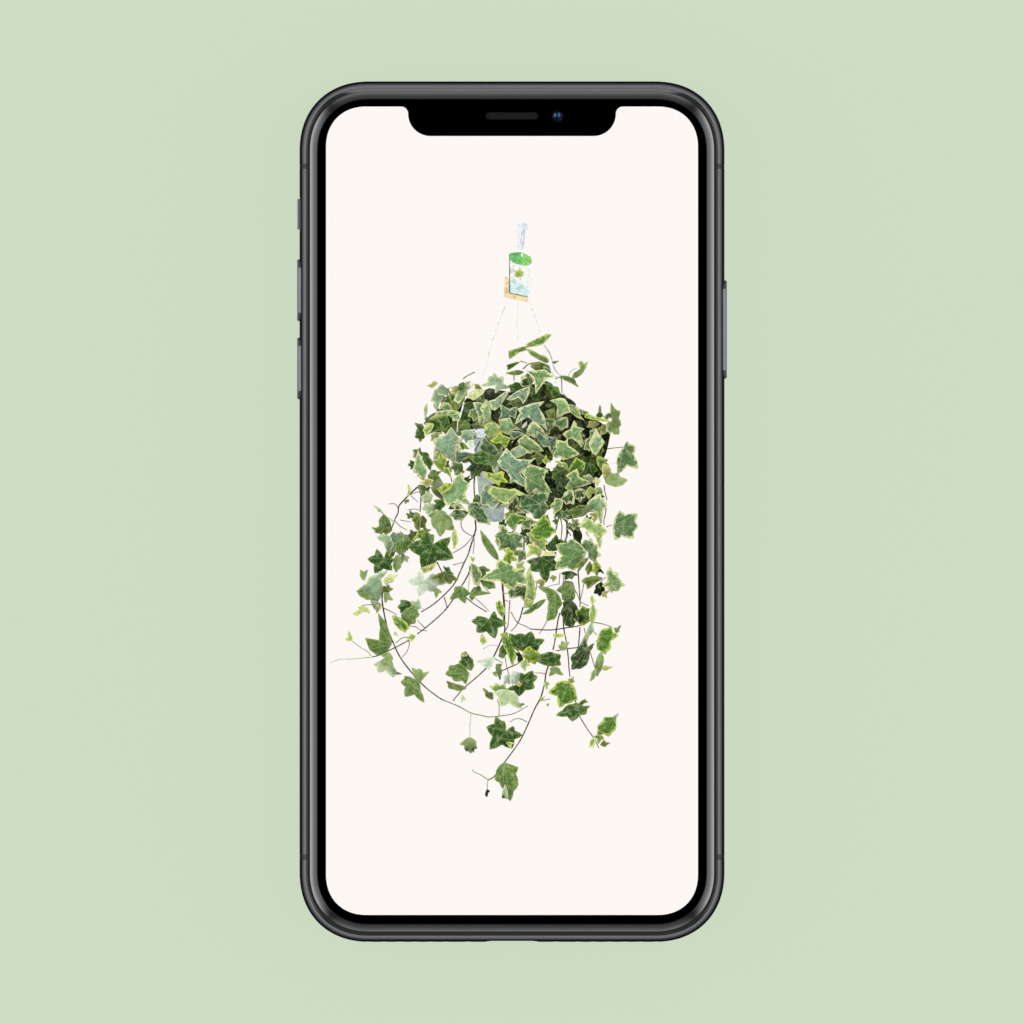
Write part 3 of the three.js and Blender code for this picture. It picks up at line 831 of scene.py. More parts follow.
def picture_material():
    material, tree, shader = new_material("screen_picture")

    def known(name, output="Fac"):
        return add_node(tree, "Attribute", attribute_name=name).outputs[output]

    place = add_node(tree, "TexCoord").outputs["Object"]
    ragged = add_node(tree, "TexNoise", {"Vector": place, "Scale": 1500.0, "Detail": 3.0}).outputs["Fac"]
    patches = add_node(tree, "TexNoise", {"Vector": place, "Scale": 1150.0, "Detail": 3.0}).outputs["Fac"]
    fine = add_node(tree, "TexNoise", {"Vector": place, "Scale": 5200.0, "Detail": 2.0}).outputs["Fac"]

    dark_patch = maths(tree, "MULTIPLY", between(tree, patches, 0.5, 0.62), 0.6)
    pale_patch = maths(tree, "MULTIPLY", between(tree, patches, 0.36, 0.48, 1.0, 0.0), 0.22)
    blade = blend_colors(tree, dark_patch, known("tone", "Color"), (0.5, 0.62, 0.5), "MULTIPLY")
    blade = blend_colors(tree, pale_patch, blade, shown(206, 216, 170))
    across_veins = maths(tree, "FRACT", maths(tree, "DIVIDE", known("side"), SIDE_VEIN_STEP))
    off_side_vein = maths(tree, "ABSOLUTE", maths(tree, "SUBTRACT", across_veins, 0.5))
    by_side_vein = between(tree, off_side_vein, 0.0, 0.16, 0.4, 0.0)
    by_vein = maths(tree, "MAXIMUM", between(tree, known("vein"), 0.0, 0.6, 1.0, 0.0), by_side_vein)
    by_vein = maths(tree, "MULTIPLY", by_vein, known("vein_strength"))
    blade = blend_colors(tree, by_vein, blade, shown(212, 224, 184))
    limit = maths(tree, "MULTIPLY", known("rim_width"), between(tree, ragged, 0.32, 0.68, 0.25, 1.75))
    inside = maths(tree, "SUBTRACT", known("edge"), limit)
    in_rim = between(tree, inside, -0.45, 0.45, 1.0, 0.0)
    color = blend_colors(tree, in_rim, blade, known("rim", "Color"))
    level = maths(tree, "MULTIPLY", known("light"), between(tree, fine, 0.3, 0.7, 0.86, 1.14))
    lit = add_node(tree, "VectorMath", {0: color, "Scale": level}, operation="SCALE")
    tree.links.new(lit.outputs[0], shader.inputs["Emission Color"])
    return as_screen_light(material, shader)


def screen_light():
    """The screen's own white, a little uneven towards the edges as such panels are."""
    material, tree, shader = new_material("screen_light")
    even = use_group(
        tree, VARIATION, Color=SCREEN_WHITE, Color_Spread=0.012,
        Roughness=0.4, Roughness_Spread=0.1, Scale=30.0)
    tree.links.new(even["Color"], shader.inputs["Emission Color"])
    tree.links.new(even["Roughness"], shader.inputs["Roughness"])
    return as_screen_light(material, shader)


SCREEN_PICTURE = picture_material()
SCREEN_LIGHT = screen_light()

# %% [markdown]
# The kinds of leaf on this plant. A full leaf is grey-green with a broad cream margin. New growth is
# yellow-green, leaves deep in the crown are dark, and some show their dull backs. Each kind is the
# blade's colour, the margin's colour, the margin's width in pixels and how clearly its veins show.

# %% Kinds of leaf
LEAF_KINDS = {
    "pale": (shown(142, 170, 126), shown(216, 222, 164), 1.5, 0.36),
    "mid": (shown(112, 146, 88), shown(208, 216, 150), 1.4, 0.34),
    "fair": (shown(134, 170, 110), shown(212, 220, 158), 1.3, 0.36),
    "frost": (shown(150, 180, 146), shown(218, 222, 164), 1.5, 0.34),
    "slate": (shown(120, 150, 122), shown(210, 216, 170), 1.3, 0.36),
    "steel": (shown(92, 122, 96), shown(194, 206, 154), 1.1, 0.34),
    "leafy": (shown(92, 132, 64), shown(184, 198, 112), 1.1, 0.32),
    "gap": (shown(250, 246, 240), shown(232, 230, 222), 0.4, 0.0),
    "grey": (shown(94, 126, 78), shown(204, 212, 152), 1.2, 0.32),
    "ink": (shown(70, 100, 62), shown(172, 186, 130), 0.9, 0.32),
    "rimmed": (shown(62, 86, 44), shown(208, 214, 158), 1.4, 0.3),
    "dark": (shown(58, 92, 36), shown(116, 142, 62), 0.9, 0.22),
    "deep": (shown(36, 46, 21), shown(52, 64, 29), 0.7, 0.05),
    "shadow": (shown(52, 72, 40), shown(88, 108, 62), 0.8, 0.15),
    "bright": (shown(84, 128, 38), shown(180, 198, 96), 1.4, 0.26),
    "fresh": (shown(120, 150, 48), shown(194, 206, 96), 1.4, 0.22),
    "sprout": (shown(158, 182, 86), shown(208, 216, 138), 1.3, 0.2),
    "lime": (shown(140, 171, 94), shown(208, 218, 140), 1.5, 0.34),
    "cream": (shown(184, 198, 132), shown(226, 228, 168), 2.2, 0.2),
    "straw": (shown(166, 166, 92), shown(208, 206, 134), 1.1, 0.2),
    "olive": (shown(88, 106, 42), shown(142, 152, 80), 1.0, 0.25),
    "moss": (shown(104, 132, 64), shown(138, 158, 90), 0.9, 0.24),
    "back": (shown(140, 163, 98), shown(160, 179, 116), 0.8, 0.22),
    "paleback": (shown(188, 207, 154), shown(207, 220, 178), 1.1, 0.22),
    "bluish": (shown(148, 176, 140), shown(192, 208, 160), 1.2, 0.32),
    "white": (shown(214, 229, 203), shown(230, 238, 218), 1.2, 0.15),
}

# %% [markdown]
# The leaves themselves, one a line, from the back of the picture to the front: the kind, the pixel where
# the stalk meets the blade, and the pixels of the lobe tips in order round it. Where the whole edge is
# given, a ~ marks its points between the tips. Written as text, a leaf can be read and moved by hand.

# %% Leaves of the crown, from the back
def read_pixel(word):
    """A pixel as (x, y), or as (x, y, 0) where a ~ after it says that no vein runs there."""
    pixel = tuple(map(float, word.strip("~").split(",")))
    return pixel + (0,) if word.endswith("~") else pixel


def read_leaves(text):
    """Leaves written one a line, each as its kind and its pixels."""
    rows = [line.split() for line in text.strip().splitlines()]
    return [(row[0], *map(read_pixel, row[1:])) for row in rows]


BACKING_LEAVES = read_leaves("""
deep 505,414 470,400 492,390 512,394 530,386 548,387 562,397 580,414 598,423 606,434 602,452 592,472 \
    572,452 550,454 530,444 508,438 486,428 466,429 459,418
deep 520,470 502,452 520,440 542,446 546,460 544,472 556,480 560,500 540,512 516,506 500,490
deep 578,478 570,452 592,452 606,468 600,476 594,484 598,500 584,514 564,518 556,500 552,474
deep 478,464 470,456 486,450 500,458 490,470 476,476 467,469
deep 448,420 430,418 444,404 462,404 462,428 448,436 436,432
deep 574,524 570,528 575,541 580,547 582,535 579,526
shadow 575,503 566,506 559,516 566,521 576,515 584,506
dark 549,551 543,545 551,541 556,535 563,541 558,550
""")
CROWN_LEAVES = read_leaves("""
mid 448,410 440,408 441,400 448,395 455,400 458,410
lime 461,391 454,395 454,404 458,409 464,402 468,394
dark 474,402 465,403 461,411 461,420 469,419 474,412
mid 476,408 480,418 474,421 468,416 470,410
back 437,412 428,417 424,424 431,424 437,418
lime 433,404 438,412 441,411 436,405
lime 437,432 431,435 431,441 438,438 442,433
olive 455,418 451,424 454,430 458,426
bright 459,441 465,444 469,449 462,450
ink 470,455 457,452 456,460 464,463 478,462
shadow 478,463 472,463~ 467,458 471,464~ 466,470 470,472~ 470,475~ 472,479 477,476~ 482,468~ 488,465 \
    484,463~
dark 462,505 450,503 449,509 458,510
dark 468,512 455,510 450,515 457,520 462,520 466,516
paleback 432,481 441,480 446,486 440,492 433,488
moss 421,485 430,487 430,495 422,498
olive 422,515 427,520 425,529 420,527
dark 572,456 566,462 568,470 574,466
shadow 553,488 546,492 548,502 556,506 560,498 558,490
grey 521,523 530,519 537,522 530,529 523,530
moss 582,484 576,480 572,472 582,468 592,474
dark 590,462 582,466 584,476 592,478 598,470
olive 596,440 590,446 592,456 600,458 604,450
dark 560,408 552,402 546,408 550,416 558,416
moss 470,424 464,420 460,426 464,432 470,430
dark 500,484 492,484 488,490 494,496 502,494
shadow 576,404 568,398 562,404 566,412 574,412
leafy 526,347 524,346~ 509,351 508,357~ 510,359 514,357~ 518,353~ 527,350~
leafy 524,348 527,343~ 548,333~ 551,335 549,339~ 544,344~ 539,346~ 532,346~ 528,348~
leafy 549,362 549,359~ 546,356~ 539,354~ 531,349~ 526,349 531,356~ 546,363
dark 520,362 513,363 507,365 508,370 512,368 516,365
dark 524,372 518,370 510,372 506,373 513,375 519,375
leafy 531,364 534,362~ 539,361~ 550,366 551,371~ 545,369~ 532,368~
olive 530,366 534,363 540,363 546,366 549,369 542,371 535,370
grey 543,366 548,368 553,372 550,373 545,371
moss 560,376 567,376 574,379 578,387 571,383 564,380
lime 582,371 578,363 581,361 588,362 586,368
moss 585,369 581,375 576,378 572,378 574,373 580,369
dark 552,362 559,361 555,364
straw 438,383 434,381 427,386 432,388
bluish 441,395 435,390 431,401 434,402~ 434,405~ 437,410 440,403~ 443,400~ 444,396~
bluish 448,395 449,388 447,388~ 444,385~ 441,384 436,389~ 436,392~ 438,396~
bluish 427,403 424,409 425,417 427,414
bright 456,412 451,404 449,391 454,395 456,404
mid 453,411 441,408 443,402 449,403
cream 458,386 450,387 451,393 456,397
pale 464,383 457,392 454,400 459,403 466,395 471,388 471,381
dark 464,382 459,384 457,390 461,392 465,388
fresh 482,389 478,384 474,384 475,389
cream 485,391 479,389 471,391 466,397 474,400 480,396
bluish 496,385 481,386 489,377 494,373 503,377 508,388 495,393
dark 523,385 516,382 508,386 511,392 518,392
dark 540,393 536,393~ 530,395 536,401 541,400
deep 541,388 550,399~ 545,400~ 541,399 539,393~
dark 561,395 558,391~ 558,387 554,386~ 550,382~ 546,381 544,383~ 547,386~ 546,389~ 549,391~ 553,398 \
    558,397~
rimmed 527,373 530,374~ 534,380 533,384~ 530,386 525,387~ 521,385 520,381~ 526,376~
cream 520,378 524,375 527,378 522,379
mid 540,372 542,369~ 547,370~ 551,374~ 558,377 550,378~ 546,380~ 536,393 534,380~ 531,375~ 526,371 \
    536,370~
grey 569,407 580,409 588,412 585,415 576,412
mid 569,404 575,405~ 579,408~ 581,416~ 584,420 577,418~ 570,412~
fair 569,405 565,398~ 560,397~ 550,401 555,403~ 557,407~ 556,418 562,417~ 565,414~ 570,412
straw 598,422 589,421 587,427 594,429 599,425
straw 609,427 603,424 597,429 601,435 606,433
dark 600,418 596,416 600,405 603,416
grey 612,413 608,413 603,417 606,420 612,418
pale 612,421 606,424 606,431 611,434
moss 612,419 611,403 615,409 620,411 621,424 619,434 614,434 611,430
bright 596,420 589,419~ 585,417 587,413 593,416~ 605,419~ 612,422 605,422~
grey 567,417 558,419 553,425 561,431 568,427
grey 556,420 549,418 544,420 546,430 547,438 553,428
deep 555,405 546,402~ 539,408 545,411~ 550,409~
olive 550,409 545,411~ 548,418~ 551,420 555,419~ 555,408~
slate 477,402 481,402~ 484,405 482,421~ 480,425 478,421~ 478,416~ 473,403
fair 486,399 489,401~ 490,405~ 489,407~ 491,410 490,420 488,420~ 482,426 483,421~ 482,413~ 480,409 \
    485,404~
frost 491,409 495,410 501,406~ 509,391 504,392~ 495,399~ 489,401
olive 523,401 516,398 509,403 514,408 521,407
slate 530,390 529,387 525,387~ 516,391~ 507,399 511,401~ 518,398~ 521,400~ 523,404 526,401~ 530,393~
steel 507,413 500,405 503,405~ 509,409~ 513,407~ 517,407 515,419 513,417~ 510,417~ 508,419~ 501,421 \
    498,419~ 501,414~ 501,412~
fair 506,420 510,418 513,424~ 521,430 515,430~ 512,432~ 511,435 499,431 500,427~ 499,420
bright 493,426 486,425 486,420 492,420
lime 493,422 484,425 484,432 488,438 493,441 498,433 501,427
gap 527,421 522,426~ 522,428 524,428~ 527,425~
slate 529,411 518,409 527,404~ 534,402~ 544,402 539,407~ 544,414~ 546,419~ 546,430 542,426~ 538,425~ \
    527,417~ 516,424 516,418~ 519,413~
pale 533,421 528,427 526,437 535,437 549,439 540,426
steel 512,431 519,431~ 526,435 521,436~ 514,440~ 510,439
steel 549,441 537,431 547,438~ 550,436~ 557,438 552,454 548,447~ 543,447 541,443~ 538,441~ 536,437~
deep 551,429 553,427~ 561,431 556,436 550,433
fair 572,434 574,421 577,423~ 577,426~ 584,429 580,433~ 585,444~ 581,447 579,444~ 572,439~ 568,439 \
    563,434 565,431~ 570,429~ 571,426~
grey 597,428 590,431 589,440 594,437
mid 593,437 585,440 584,449 590,451
pale 596,428 598,436~ 602,438~ 604,442 596,455 592,454~ 589,447~ 589,443 594,436~
mid 563,448 568,438 565,441~ 557,440 555,447~ 556,449~ 554,451~ 553,455 555,459~ 560,458~ 563,460 \
    579,454 575,449~ 569,445~ 568,442~
grey 624,446 627,441 635,446 638,468 618,473 617,459
bright 597,456 604,458 609,466 612,476 607,481 602,471 597,464
straw 603,463 609,466 613,478 608,484 604,478 602,470
back 605,482 611,474 617,473 627,480 622,485 615,487 609,485
mid 461,413 452,410 440,411 429,420 438,417 449,415 453,421 459,421
dark 443,429 442,425~ 439,430~ 437,430~ 430,434~ 425,435 429,427~ 428,423 430,420~ 439,416~ 447,416 \
    451,424~ 450,430 446,429~ 445,432~
dark 425,430 422,424 415,423 416,432 415,437 420,442 425,437
lime 434,424 426,423 423,430 425,436 431,431
bluish 470,430 461,431 461,437 466,443 473,440 476,434
frost 447,458 441,454~ 434,459 433,450~ 434,446~ 433,441 438,436~ 445,434~ 451,428 455,430~ 459,437~ \
    463,439 455,444~ 456,458~ 455,462
steel 456,456 455,446~ 457,443 459,445~ 461,451~ 465,451~ 473,454 458,464~ 457,471 453,470~ 451,467~ \
    451,463~ 455,462~
grey 461,463 452,462 450,468 455,474 462,469
dark 462,463 458,466 459,473 463,470
fresh 446,464 447,460 440,453 437,459~ 433,461 434,464~ 439,470~ 443,472 445,469~
leafy 443,467 449,467~ 451,472~ 451,478 444,471~
mid 419,449 412,450 413,457 417,460
dark 416,463 410,460 408,465 411,470
dark 422,452 428,453 433,463 430,470 424,462
fair 418,450 421,455~ 422,460~ 427,470 427,474~ 424,480 420,480~ 418,475~ 413,472 413,466~
moss 431,470 436,470 441,480 433,483 429,476
straw 434,480 426,479 420,483 427,488
olive 446,501 441,491 431,487 434,494
paleback 433,495 426,491 421,497 424,503 430,503
paleback 435,504 425,504 422,509 427,514 435,511
dark 444,500 434,500 434,509 440,511 445,506
back 437,510 428,515 432,525 440,536 454,529 451,518 444,511
ink 466,514 456,509 450,515 455,520 462,521
rimmed 463,508 456,503 450,505 456,510
fair 454,501 449,505 446,506~ 443,503~ 442,497~ 438,489 446,484~ 452,484~ 453,479~ 461,473 464,474~ \
    465,479~ 468,481~ 469,485 466,493~ 467,498~ 470,504 465,505~ 458,500~
fresh 453,484 446,483 439,488 443,493 450,489
dark 477,494 473,500 474,507 481,508 482,500
slate 490,481 483,486~ 481,491~ 480,503 482,507~ 487,506~ 493,509 499,503 495,498~ 490,495~ 488,492~
ink 468,504 478,502 484,510 490,524 478,522 469,514
pale 506,451 495,452 489,463 494,472 501,464
ink 491,460 480,448 484,437 494,445 502,450
dark 498,458 482,451 468,456 476,463 488,465
white 467,441 474,440 475,447 471,450
fresh 501,438 500,431 503,435~ 510,438 505,449 501,443~ 496,444~ 490,441 495,437~
mid 544,451 538,443~ 525,435 518,441 520,450~ 526,453 533,453~
frost 520,445 511,449~ 510,453 516,458 521,457~ 528,453~ 532,454
olive 546,458 537,452 531,457 538,465
fresh 545,464 542,460 546,455 550,461
slate 510,470 507,449 498,462 501,469~ 506,472~ 510,479~ 510,483 514,482~ 518,485~ 526,487 525,479~ \
    522,476~ 521,473~ 535,458 531,459~ 516,458~ 512,453~
fresh 500,477 501,471 505,472~ 504,477~ 508,482 505,483~ 501,482~ 499,486 493,481~ 488,479~ 484,473 \
    488,472~ 495,474~
dark 563,468 558,465 552,471 552,478 558,484 565,480
shadow 561,477 555,482 557,490 563,494 568,488 567,481
lime 563,462 554,461 559,466 569,471 567,464
bright 576,470 569,474 568,470~ 569,467~ 576,458 582,460~ 585,463 584,469 581,475~
pale 595,481 589,474 583,476 586,481
cream 601,480 595,477 592,482 597,486
fresh 580,475 573,470 566,476 571,480
mid 578,479 577,469 566,476 570,480~ 565,487 568,490~ 575,488~ 580,488~ 591,483 579,476~ 579,472~
lime 573,488 568,484 565,488 568,492
rimmed 580,488 574,491 575,498 580,502 585,497 586,491
rimmed 573,490 565,492 561,500 566,504 574,504
sprout 590,486 585,494 589,499 596,492
grey 601,487 594,488 595,496 600,500 603,493
mid 526,478 524,477~ 522,473 530,465 540,466~ 548,471 546,473~ 545,480~ 551,492 542,493~ 533,492~ \
    530,495 524,490~
cream 532,493 533,490~ 536,488 542,493~ 536,491~
mid 563,500 555,498 550,506 554,514 561,509
pale 600,500 578,510 583,508~ 586,505~ 587,502~ 595,495~ 600,494 602,497~ 605,498~ 607,501~ 607,505 \
    604,512~ 601,525 597,512~ 584,513~
olive 591,508 580,505 568,511 574,518 585,515
straw 598,512 589,514 594,522 598,519
lime 596,524 585,517 578,526 588,532 596,538 600,548 607,531 601,523
rimmed 512,513 505,508~ 504,505 508,503~ 515,496 517,495~ 519,498~ 518,507~ 521,510~ 525,510~ 529,513 \
    521,514~
ink 540,504 523,494 531,495~ 535,492~ 549,493 548,500~ 546,502~ 548,507 542,518 534,520~ 531,514~ \
    520,507 519,499~
lime 506,493 498,487~ 492,486 488,489~ 488,492 496,500~ 505,504 509,502~ 515,496~ 518,495~ 521,496~ \
    524,494 515,488~ 510,489~
sprout 509,512 504,514 505,520 510,517
leafy 510,513 519,514~ 532,519 527,521~ 521,521~ 518,523~ 515,531 506,523
grey 613,526 619,511 637,514 637,527 633,538 615,540
""")

# %% Leaves of the trailing stems, from the back
TRAILING_LEAVES = read_leaves("""
bluish 389,539 393,532 400,533 404,538 396,543
moss 384,514 379,520 379,529 386,534 392,530 390,522
olive 390,527 382,529 381,533 388,534
bluish 384,534 377,537 390,554 394,545 391,537
moss 404,540 400,531 408,535 412,542 408,550 400,555 394,550 396,541
back 398,554 394,558 393,566 396,572 401,567 401,558
dark 384,558 388,549 394,560 392,570 375,573 368,559 377,549
olive 420,514 415,512 412,520 415,527 419,532 421,522
bright 425,530 418,530 413,540 421,538
mid 411,489 408,484 407,497 410,494
olive 409,499 404,501 405,504 409,502
sprout 454,528 452,535 454,549 458,541 456,530
bluish 383,512 378,507 373,505 378,512
paleback 396,523 388,517 390,521
straw 421,549 409,547 412,551 420,555
dark 433,544 450,537 453,558 424,572 408,546 426,531 434,535
straw 437,562 430,566 421,568 424,573 432,570
white 425,580 420,570 408,581 419,596 434,591 446,583 433,573
olive 446,571 431,578 440,584 450,584 458,580
dark 448,575 443,566 449,567 454,574
back 437,588 431,589 436,598 442,592
back 364,581 360,576 360,570 368,570 366,577
bluish 381,579 388,570 380,571 370,577 358,591 375,609 382,592
paleback 380,603 371,600 377,613 382,606
moss 374,598 363,590 357,591 360,596 367,600
cream 383,581 389,574 398,575 393,582 387,586
olive 382,592 383,586 389,585 393,589 388,593
back 384,592 389,593 393,600 385,603
sprout 368,608 361,606 353,614 357,616 363,612 370,614
straw 382,605 376,605 378,612
dark 412,603 405,600 401,600 398,607 401,613 409,610
paleback 421,609 410,608 411,601 419,599
moss 401,615 405,609 411,607 417,609 419,615 415,623 408,627 403,622
bright 393,615 399,617 406,622 409,627 405,632 399,629 394,623 392,617
moss 392,644 390,636 386,624 378,614 380,628 379,640 366,638 370,649 378,655 386,652
paleback 387,657 380,661 374,664 378,672 393,677 397,673 391,660
back 389,652 381,655 384,662 391,666 393,658
sprout 352,641 345,640 349,631 352,636
paleback 393,634 396,631 399,636
deep 396,672 402,674 398,675
sprout 416,636 411,634 406,638 411,642
back 420,682 414,677 412,668 420,669 429,672 424,678
moss 413,678 405,676 401,682 405,696 424,702 419,682
moss 461,586 455,587 450,599 465,603 470,593
moss 469,597 473,588 479,586 490,594 480,593 472,601
moss 479,567 484,566 490,570 485,576 481,579
moss 480,580 487,580 494,583 495,588 488,589 483,585
grey 471,563 478,567 482,574 479,585 474,584 471,572
sprout 473,563 470,556 475,557
moss 499,561 489,553 483,543 481,531 488,539 495,549
straw 500,548 495,541 497,538 501,543
shadow 522,655 515,652 518,662 523,661
grey 509,533 504,525 499,525 495,536 499,550 513,552 523,547 523,536 516,532
grey 525,550 516,550 513,554 519,562 526,559
fresh 506,553 502,549 509,547 514,552 517,560 509,566 503,560
cream 517,569 516,561 524,561 525,569
mid 516,569 499,559 482,579 510,589 526,583 525,568
rimmed 527,586 517,584 508,592 510,598 525,601
sprout 509,590 504,584 508,583 512,587
lime 533,534 527,534 530,542 538,547 545,551 548,541 541,538
bright 529,533 536,526 544,514 549,521 555,531 548,538 538,541
sprout 536,545 528,544 527,557 533,554 540,558 542,551
dark 541,557 527,561 531,570 546,582 559,568 556,552
cream 557,556 552,551 545,552 540,556 549,554
lime 529,567 526,577 527,592 524,606 530,606 536,594 533,577
sprout 534,602 528,598 524,606 529,608
dark 546,599 536,603 523,614 530,613 541,606
straw 546,581 540,579 535,582 541,588
back 557,577 552,575 549,578 553,582
dark 559,521 555,518 552,521 555,525
moss 573,582 564,581 557,590 563,599 569,604 575,597
shadow 571,571 561,573 565,580 572,579 578,575
moss 556,591 538,586 549,602 547,620 555,618 562,603
shadow 571,600 563,602 561,613 565,624 572,627 579,618 577,606
bright 591,620 590,609 583,606 576,611 574,620 582,626
deep 584,619 578,612 575,618 579,624
grey 588,552 580,545 584,540 591,538 598,545 601,555 596,564 589,558
mid 587,552 573,539 557,545 556,568 575,570
olive 589,557 576,565 579,571 585,564
olive 590,561 585,569 588,575 593,570
fresh 597,561 592,564 592,571 597,576 601,567
deep 600,568 598,572 604,574
olive 603,578 593,576 585,578 582,581 588,589 595,583
deep 602,582 596,585 594,593 600,596 605,590
straw 602,592 609,591 607,598 602,597
mid 607,581 606,572 610,567 618,573 620,580 625,585 618,591 611,593 602,586
lime 592,625 589,612 593,605 597,611
sprout 592,605 590,599 592,595 596,600
bluish 591,622 587,634 577,652 583,648 594,630
moss 616,633 614,628 621,625 619,632
bright 598,637 602,629 611,627 618,635 610,649 605,654 597,649
shadow 587,648 594,643 587,664 581,668 572,669 571,657 578,648 585,640
back 601,651 604,659 602,668 597,676 595,664
back 597,668 592,672 590,681 594,679
straw 601,669 605,665 613,667 606,671
back 562,651 558,646 562,641 569,642 567,649
sprout 553,634 554,638 560,638 566,635
bright 503,618 497,610 496,603 500,601 505,609
dark 489,619 478,616 472,621 477,632 495,638 506,623 494,611
sprout 482,633 480,641 483,645 487,642
dark 507,641 500,648 499,656 503,658 509,652
bright 503,633 500,634 503,644 508,655 512,665 516,655 512,642 507,632
dark 524,652 512,646 509,634 520,634 531,632 544,640 537,651 531,657
fresh 524,650 530,646 538,652 542,657 535,664 527,662 522,656
dark 535,660 540,655 549,652 560,655 560,665 548,666
lime 521,661 527,660 530,665 525,671 521,667
white 495,657 485,658 477,661 483,666 489,670
moss 496,664 502,664 502,672 500,680 496,671
back 492,673 498,671 497,677
moss 469,673 459,664 450,666 446,674 455,681 466,684
dark 471,671 459,663 462,654 466,652 473,660 474,666
straw 467,656 460,656 463,652 468,653
olive 467,688 456,684 447,681 449,688 459,691
white 508,674 503,677 504,684 510,684
white 513,671 510,677 511,683 516,684 521,680 520,673
dark 520,684 520,673 532,671 537,677 534,688 519,696 507,689
straw 520,687 516,684 518,681 522,683
olive 493,700 493,693 483,688 486,697
lime 498,693 489,686 496,683 505,684 509,690
paleback 503,689 494,692 500,706 521,708 517,695
paleback 462,694 466,700 461,703
back 554,666 550,668 549,676 563,675 559,668
lime 546,681 543,685 547,690 550,684
sprout 542,701 539,697 545,696
straw 570,683 568,679 574,676 575,682
bright 569,681 558,682 549,692 560,707 571,702 577,699 575,688
olive 579,703 585,699 588,702 582,705
dark 584,706 590,706 586,714 573,721 557,715 568,705 577,703
paleback 611,719 619,713 616,722
bright 615,718 605,717 598,726 598,734 609,736 616,729
sprout 602,735 594,736 598,744 604,739
lime 595,737 590,741 589,747 593,748 597,741
olive 600,745 604,740 610,743 605,747
dark 506,731 513,726 522,735 512,748 490,749 487,727 496,717 505,722
sprout 506,742 511,748 514,743
back 470,737 464,740 460,744 466,750 471,753 477,748 476,741
shadow 474,748 471,749 474,753
shadow 468,748 464,749 466,752
moss 504,762 497,769 495,779 503,788 510,800 518,784 518,767 510,768
paleback 505,784 502,798 508,799
deep 487,789 485,795 487,797 490,791
deep 503,795 502,798 505,798
moss 525,704 521,703 519,706 522,706
moss 549,703 546,705 548,707
""")
print(len(BACKING_LEAVES + CROWN_LEAVES), "leaves in the crown and", len(TRAILING_LEAVES), "on the stems")

# %% [markdown]
# Between the big leaves more show than anyone would set by hand. They are drawn by a seeded draw, small
# and dim, behind the others: a five-lobed leaf turned and squashed at random. The crown gets dark ones,
# the thin growth at its sides and below it lighter ones, and some places stay clear.

# %% Small leaves behind the others
DIM_KINDS = ("grey", "ink", "dark", "dark", "moss", "shadow", "olive", "mid", "grey")
LIGHT_KINDS = ("lime", "moss", "mid", "back", "paleback", "grey")
FILLER_ZONES = [
    ((524, 442), (72, 64), 160, DIM_KINDS), ((440, 455), (22, 56), 36, LIGHT_KINDS),
    ((588, 488), (15, 48), 24, DIM_KINDS), ((532, 528), (42, 30), 26, DIM_KINDS),
    ((404, 536), (24, 26), 10, LIGHT_KINDS),
]
LOBE_TURNS = (-125, -62, 0, 62, 125)
LOBE_LENGTHS = (0.6, 0.85, 1.0, 0.85, 0.6)
CLEAR_GAPS = ((552, 463, 2), (470, 445, 6), (466, 465, 4), (598, 476, 4), (448, 478, 5), (490, 515, 9),
              (467, 486, 3), (468, 528, 8), (427, 444, 5), (493, 545, 8), (560, 530, 4), (612, 490, 7),
              (576, 396, 9), (590, 402, 10), (564, 386, 7), (496, 382, 9), (482, 378, 8), (418, 402, 14))


def filler_leaf(draw, centre, reach, kinds):
    turn, away = draw.uniform(0, 2 * math.pi), math.sqrt(draw.random())
    base = (centre[0] + reach[0] * away * math.cos(turn), centre[1] + reach[1] * away * math.sin(turn))
    size, squash, heading = draw.uniform(6, 10.5), draw.uniform(0.45, 1.0), draw.uniform(0, 2 * math.pi)
    c, s = math.cos(heading), math.sin(heading)
    tips = []
    for lobe, length in zip(LOBE_TURNS, LOBE_LENGTHS):
        angle = math.radians(lobe + draw.uniform(-9, 9))
        along, across = size * length * math.cos(angle), size * length * math.sin(angle) * squash
        tips.append((base[0] + along * c - across * s, base[1] + along * s + across * c))
    return (draw.choice(kinds), base, *tips)


def filler_leaves(seed):
    draw = random.Random(seed)
    leaves = []
    for centre, reach, count, kinds in FILLER_ZONES:
        for attempt in range(count):
            leaf = filler_leaf(draw, centre, reach, kinds)
            if all(math.dist(point, gap[:2]) > gap[2] for point in leaf[1:] for gap in CLEAR_GAPS):
                leaves.append(leaf)
    return leaves


FILLERS = filler_leaves(seed=7)
print(len(FILLERS), "small leaves lie behind the others")

# %% [markdown]
# A leaf is modelled once, as a blank: an open ring of points that is extruded inwards, ring by ring,
# and closed at the point where the stalk joins. Each leaf is a copy whose points are moved to its own
# outline. The outline runs from tip to tip through a hollow between them, and each stretch bulges a
# little outwards, as a leaf's lobes do.

# %% The leaf blank
LEAF_SPOKES = 30
LEAF_RINGS = (0.94, 0.82, 0.6, 0.3)
LOBED_UP_TO = 8


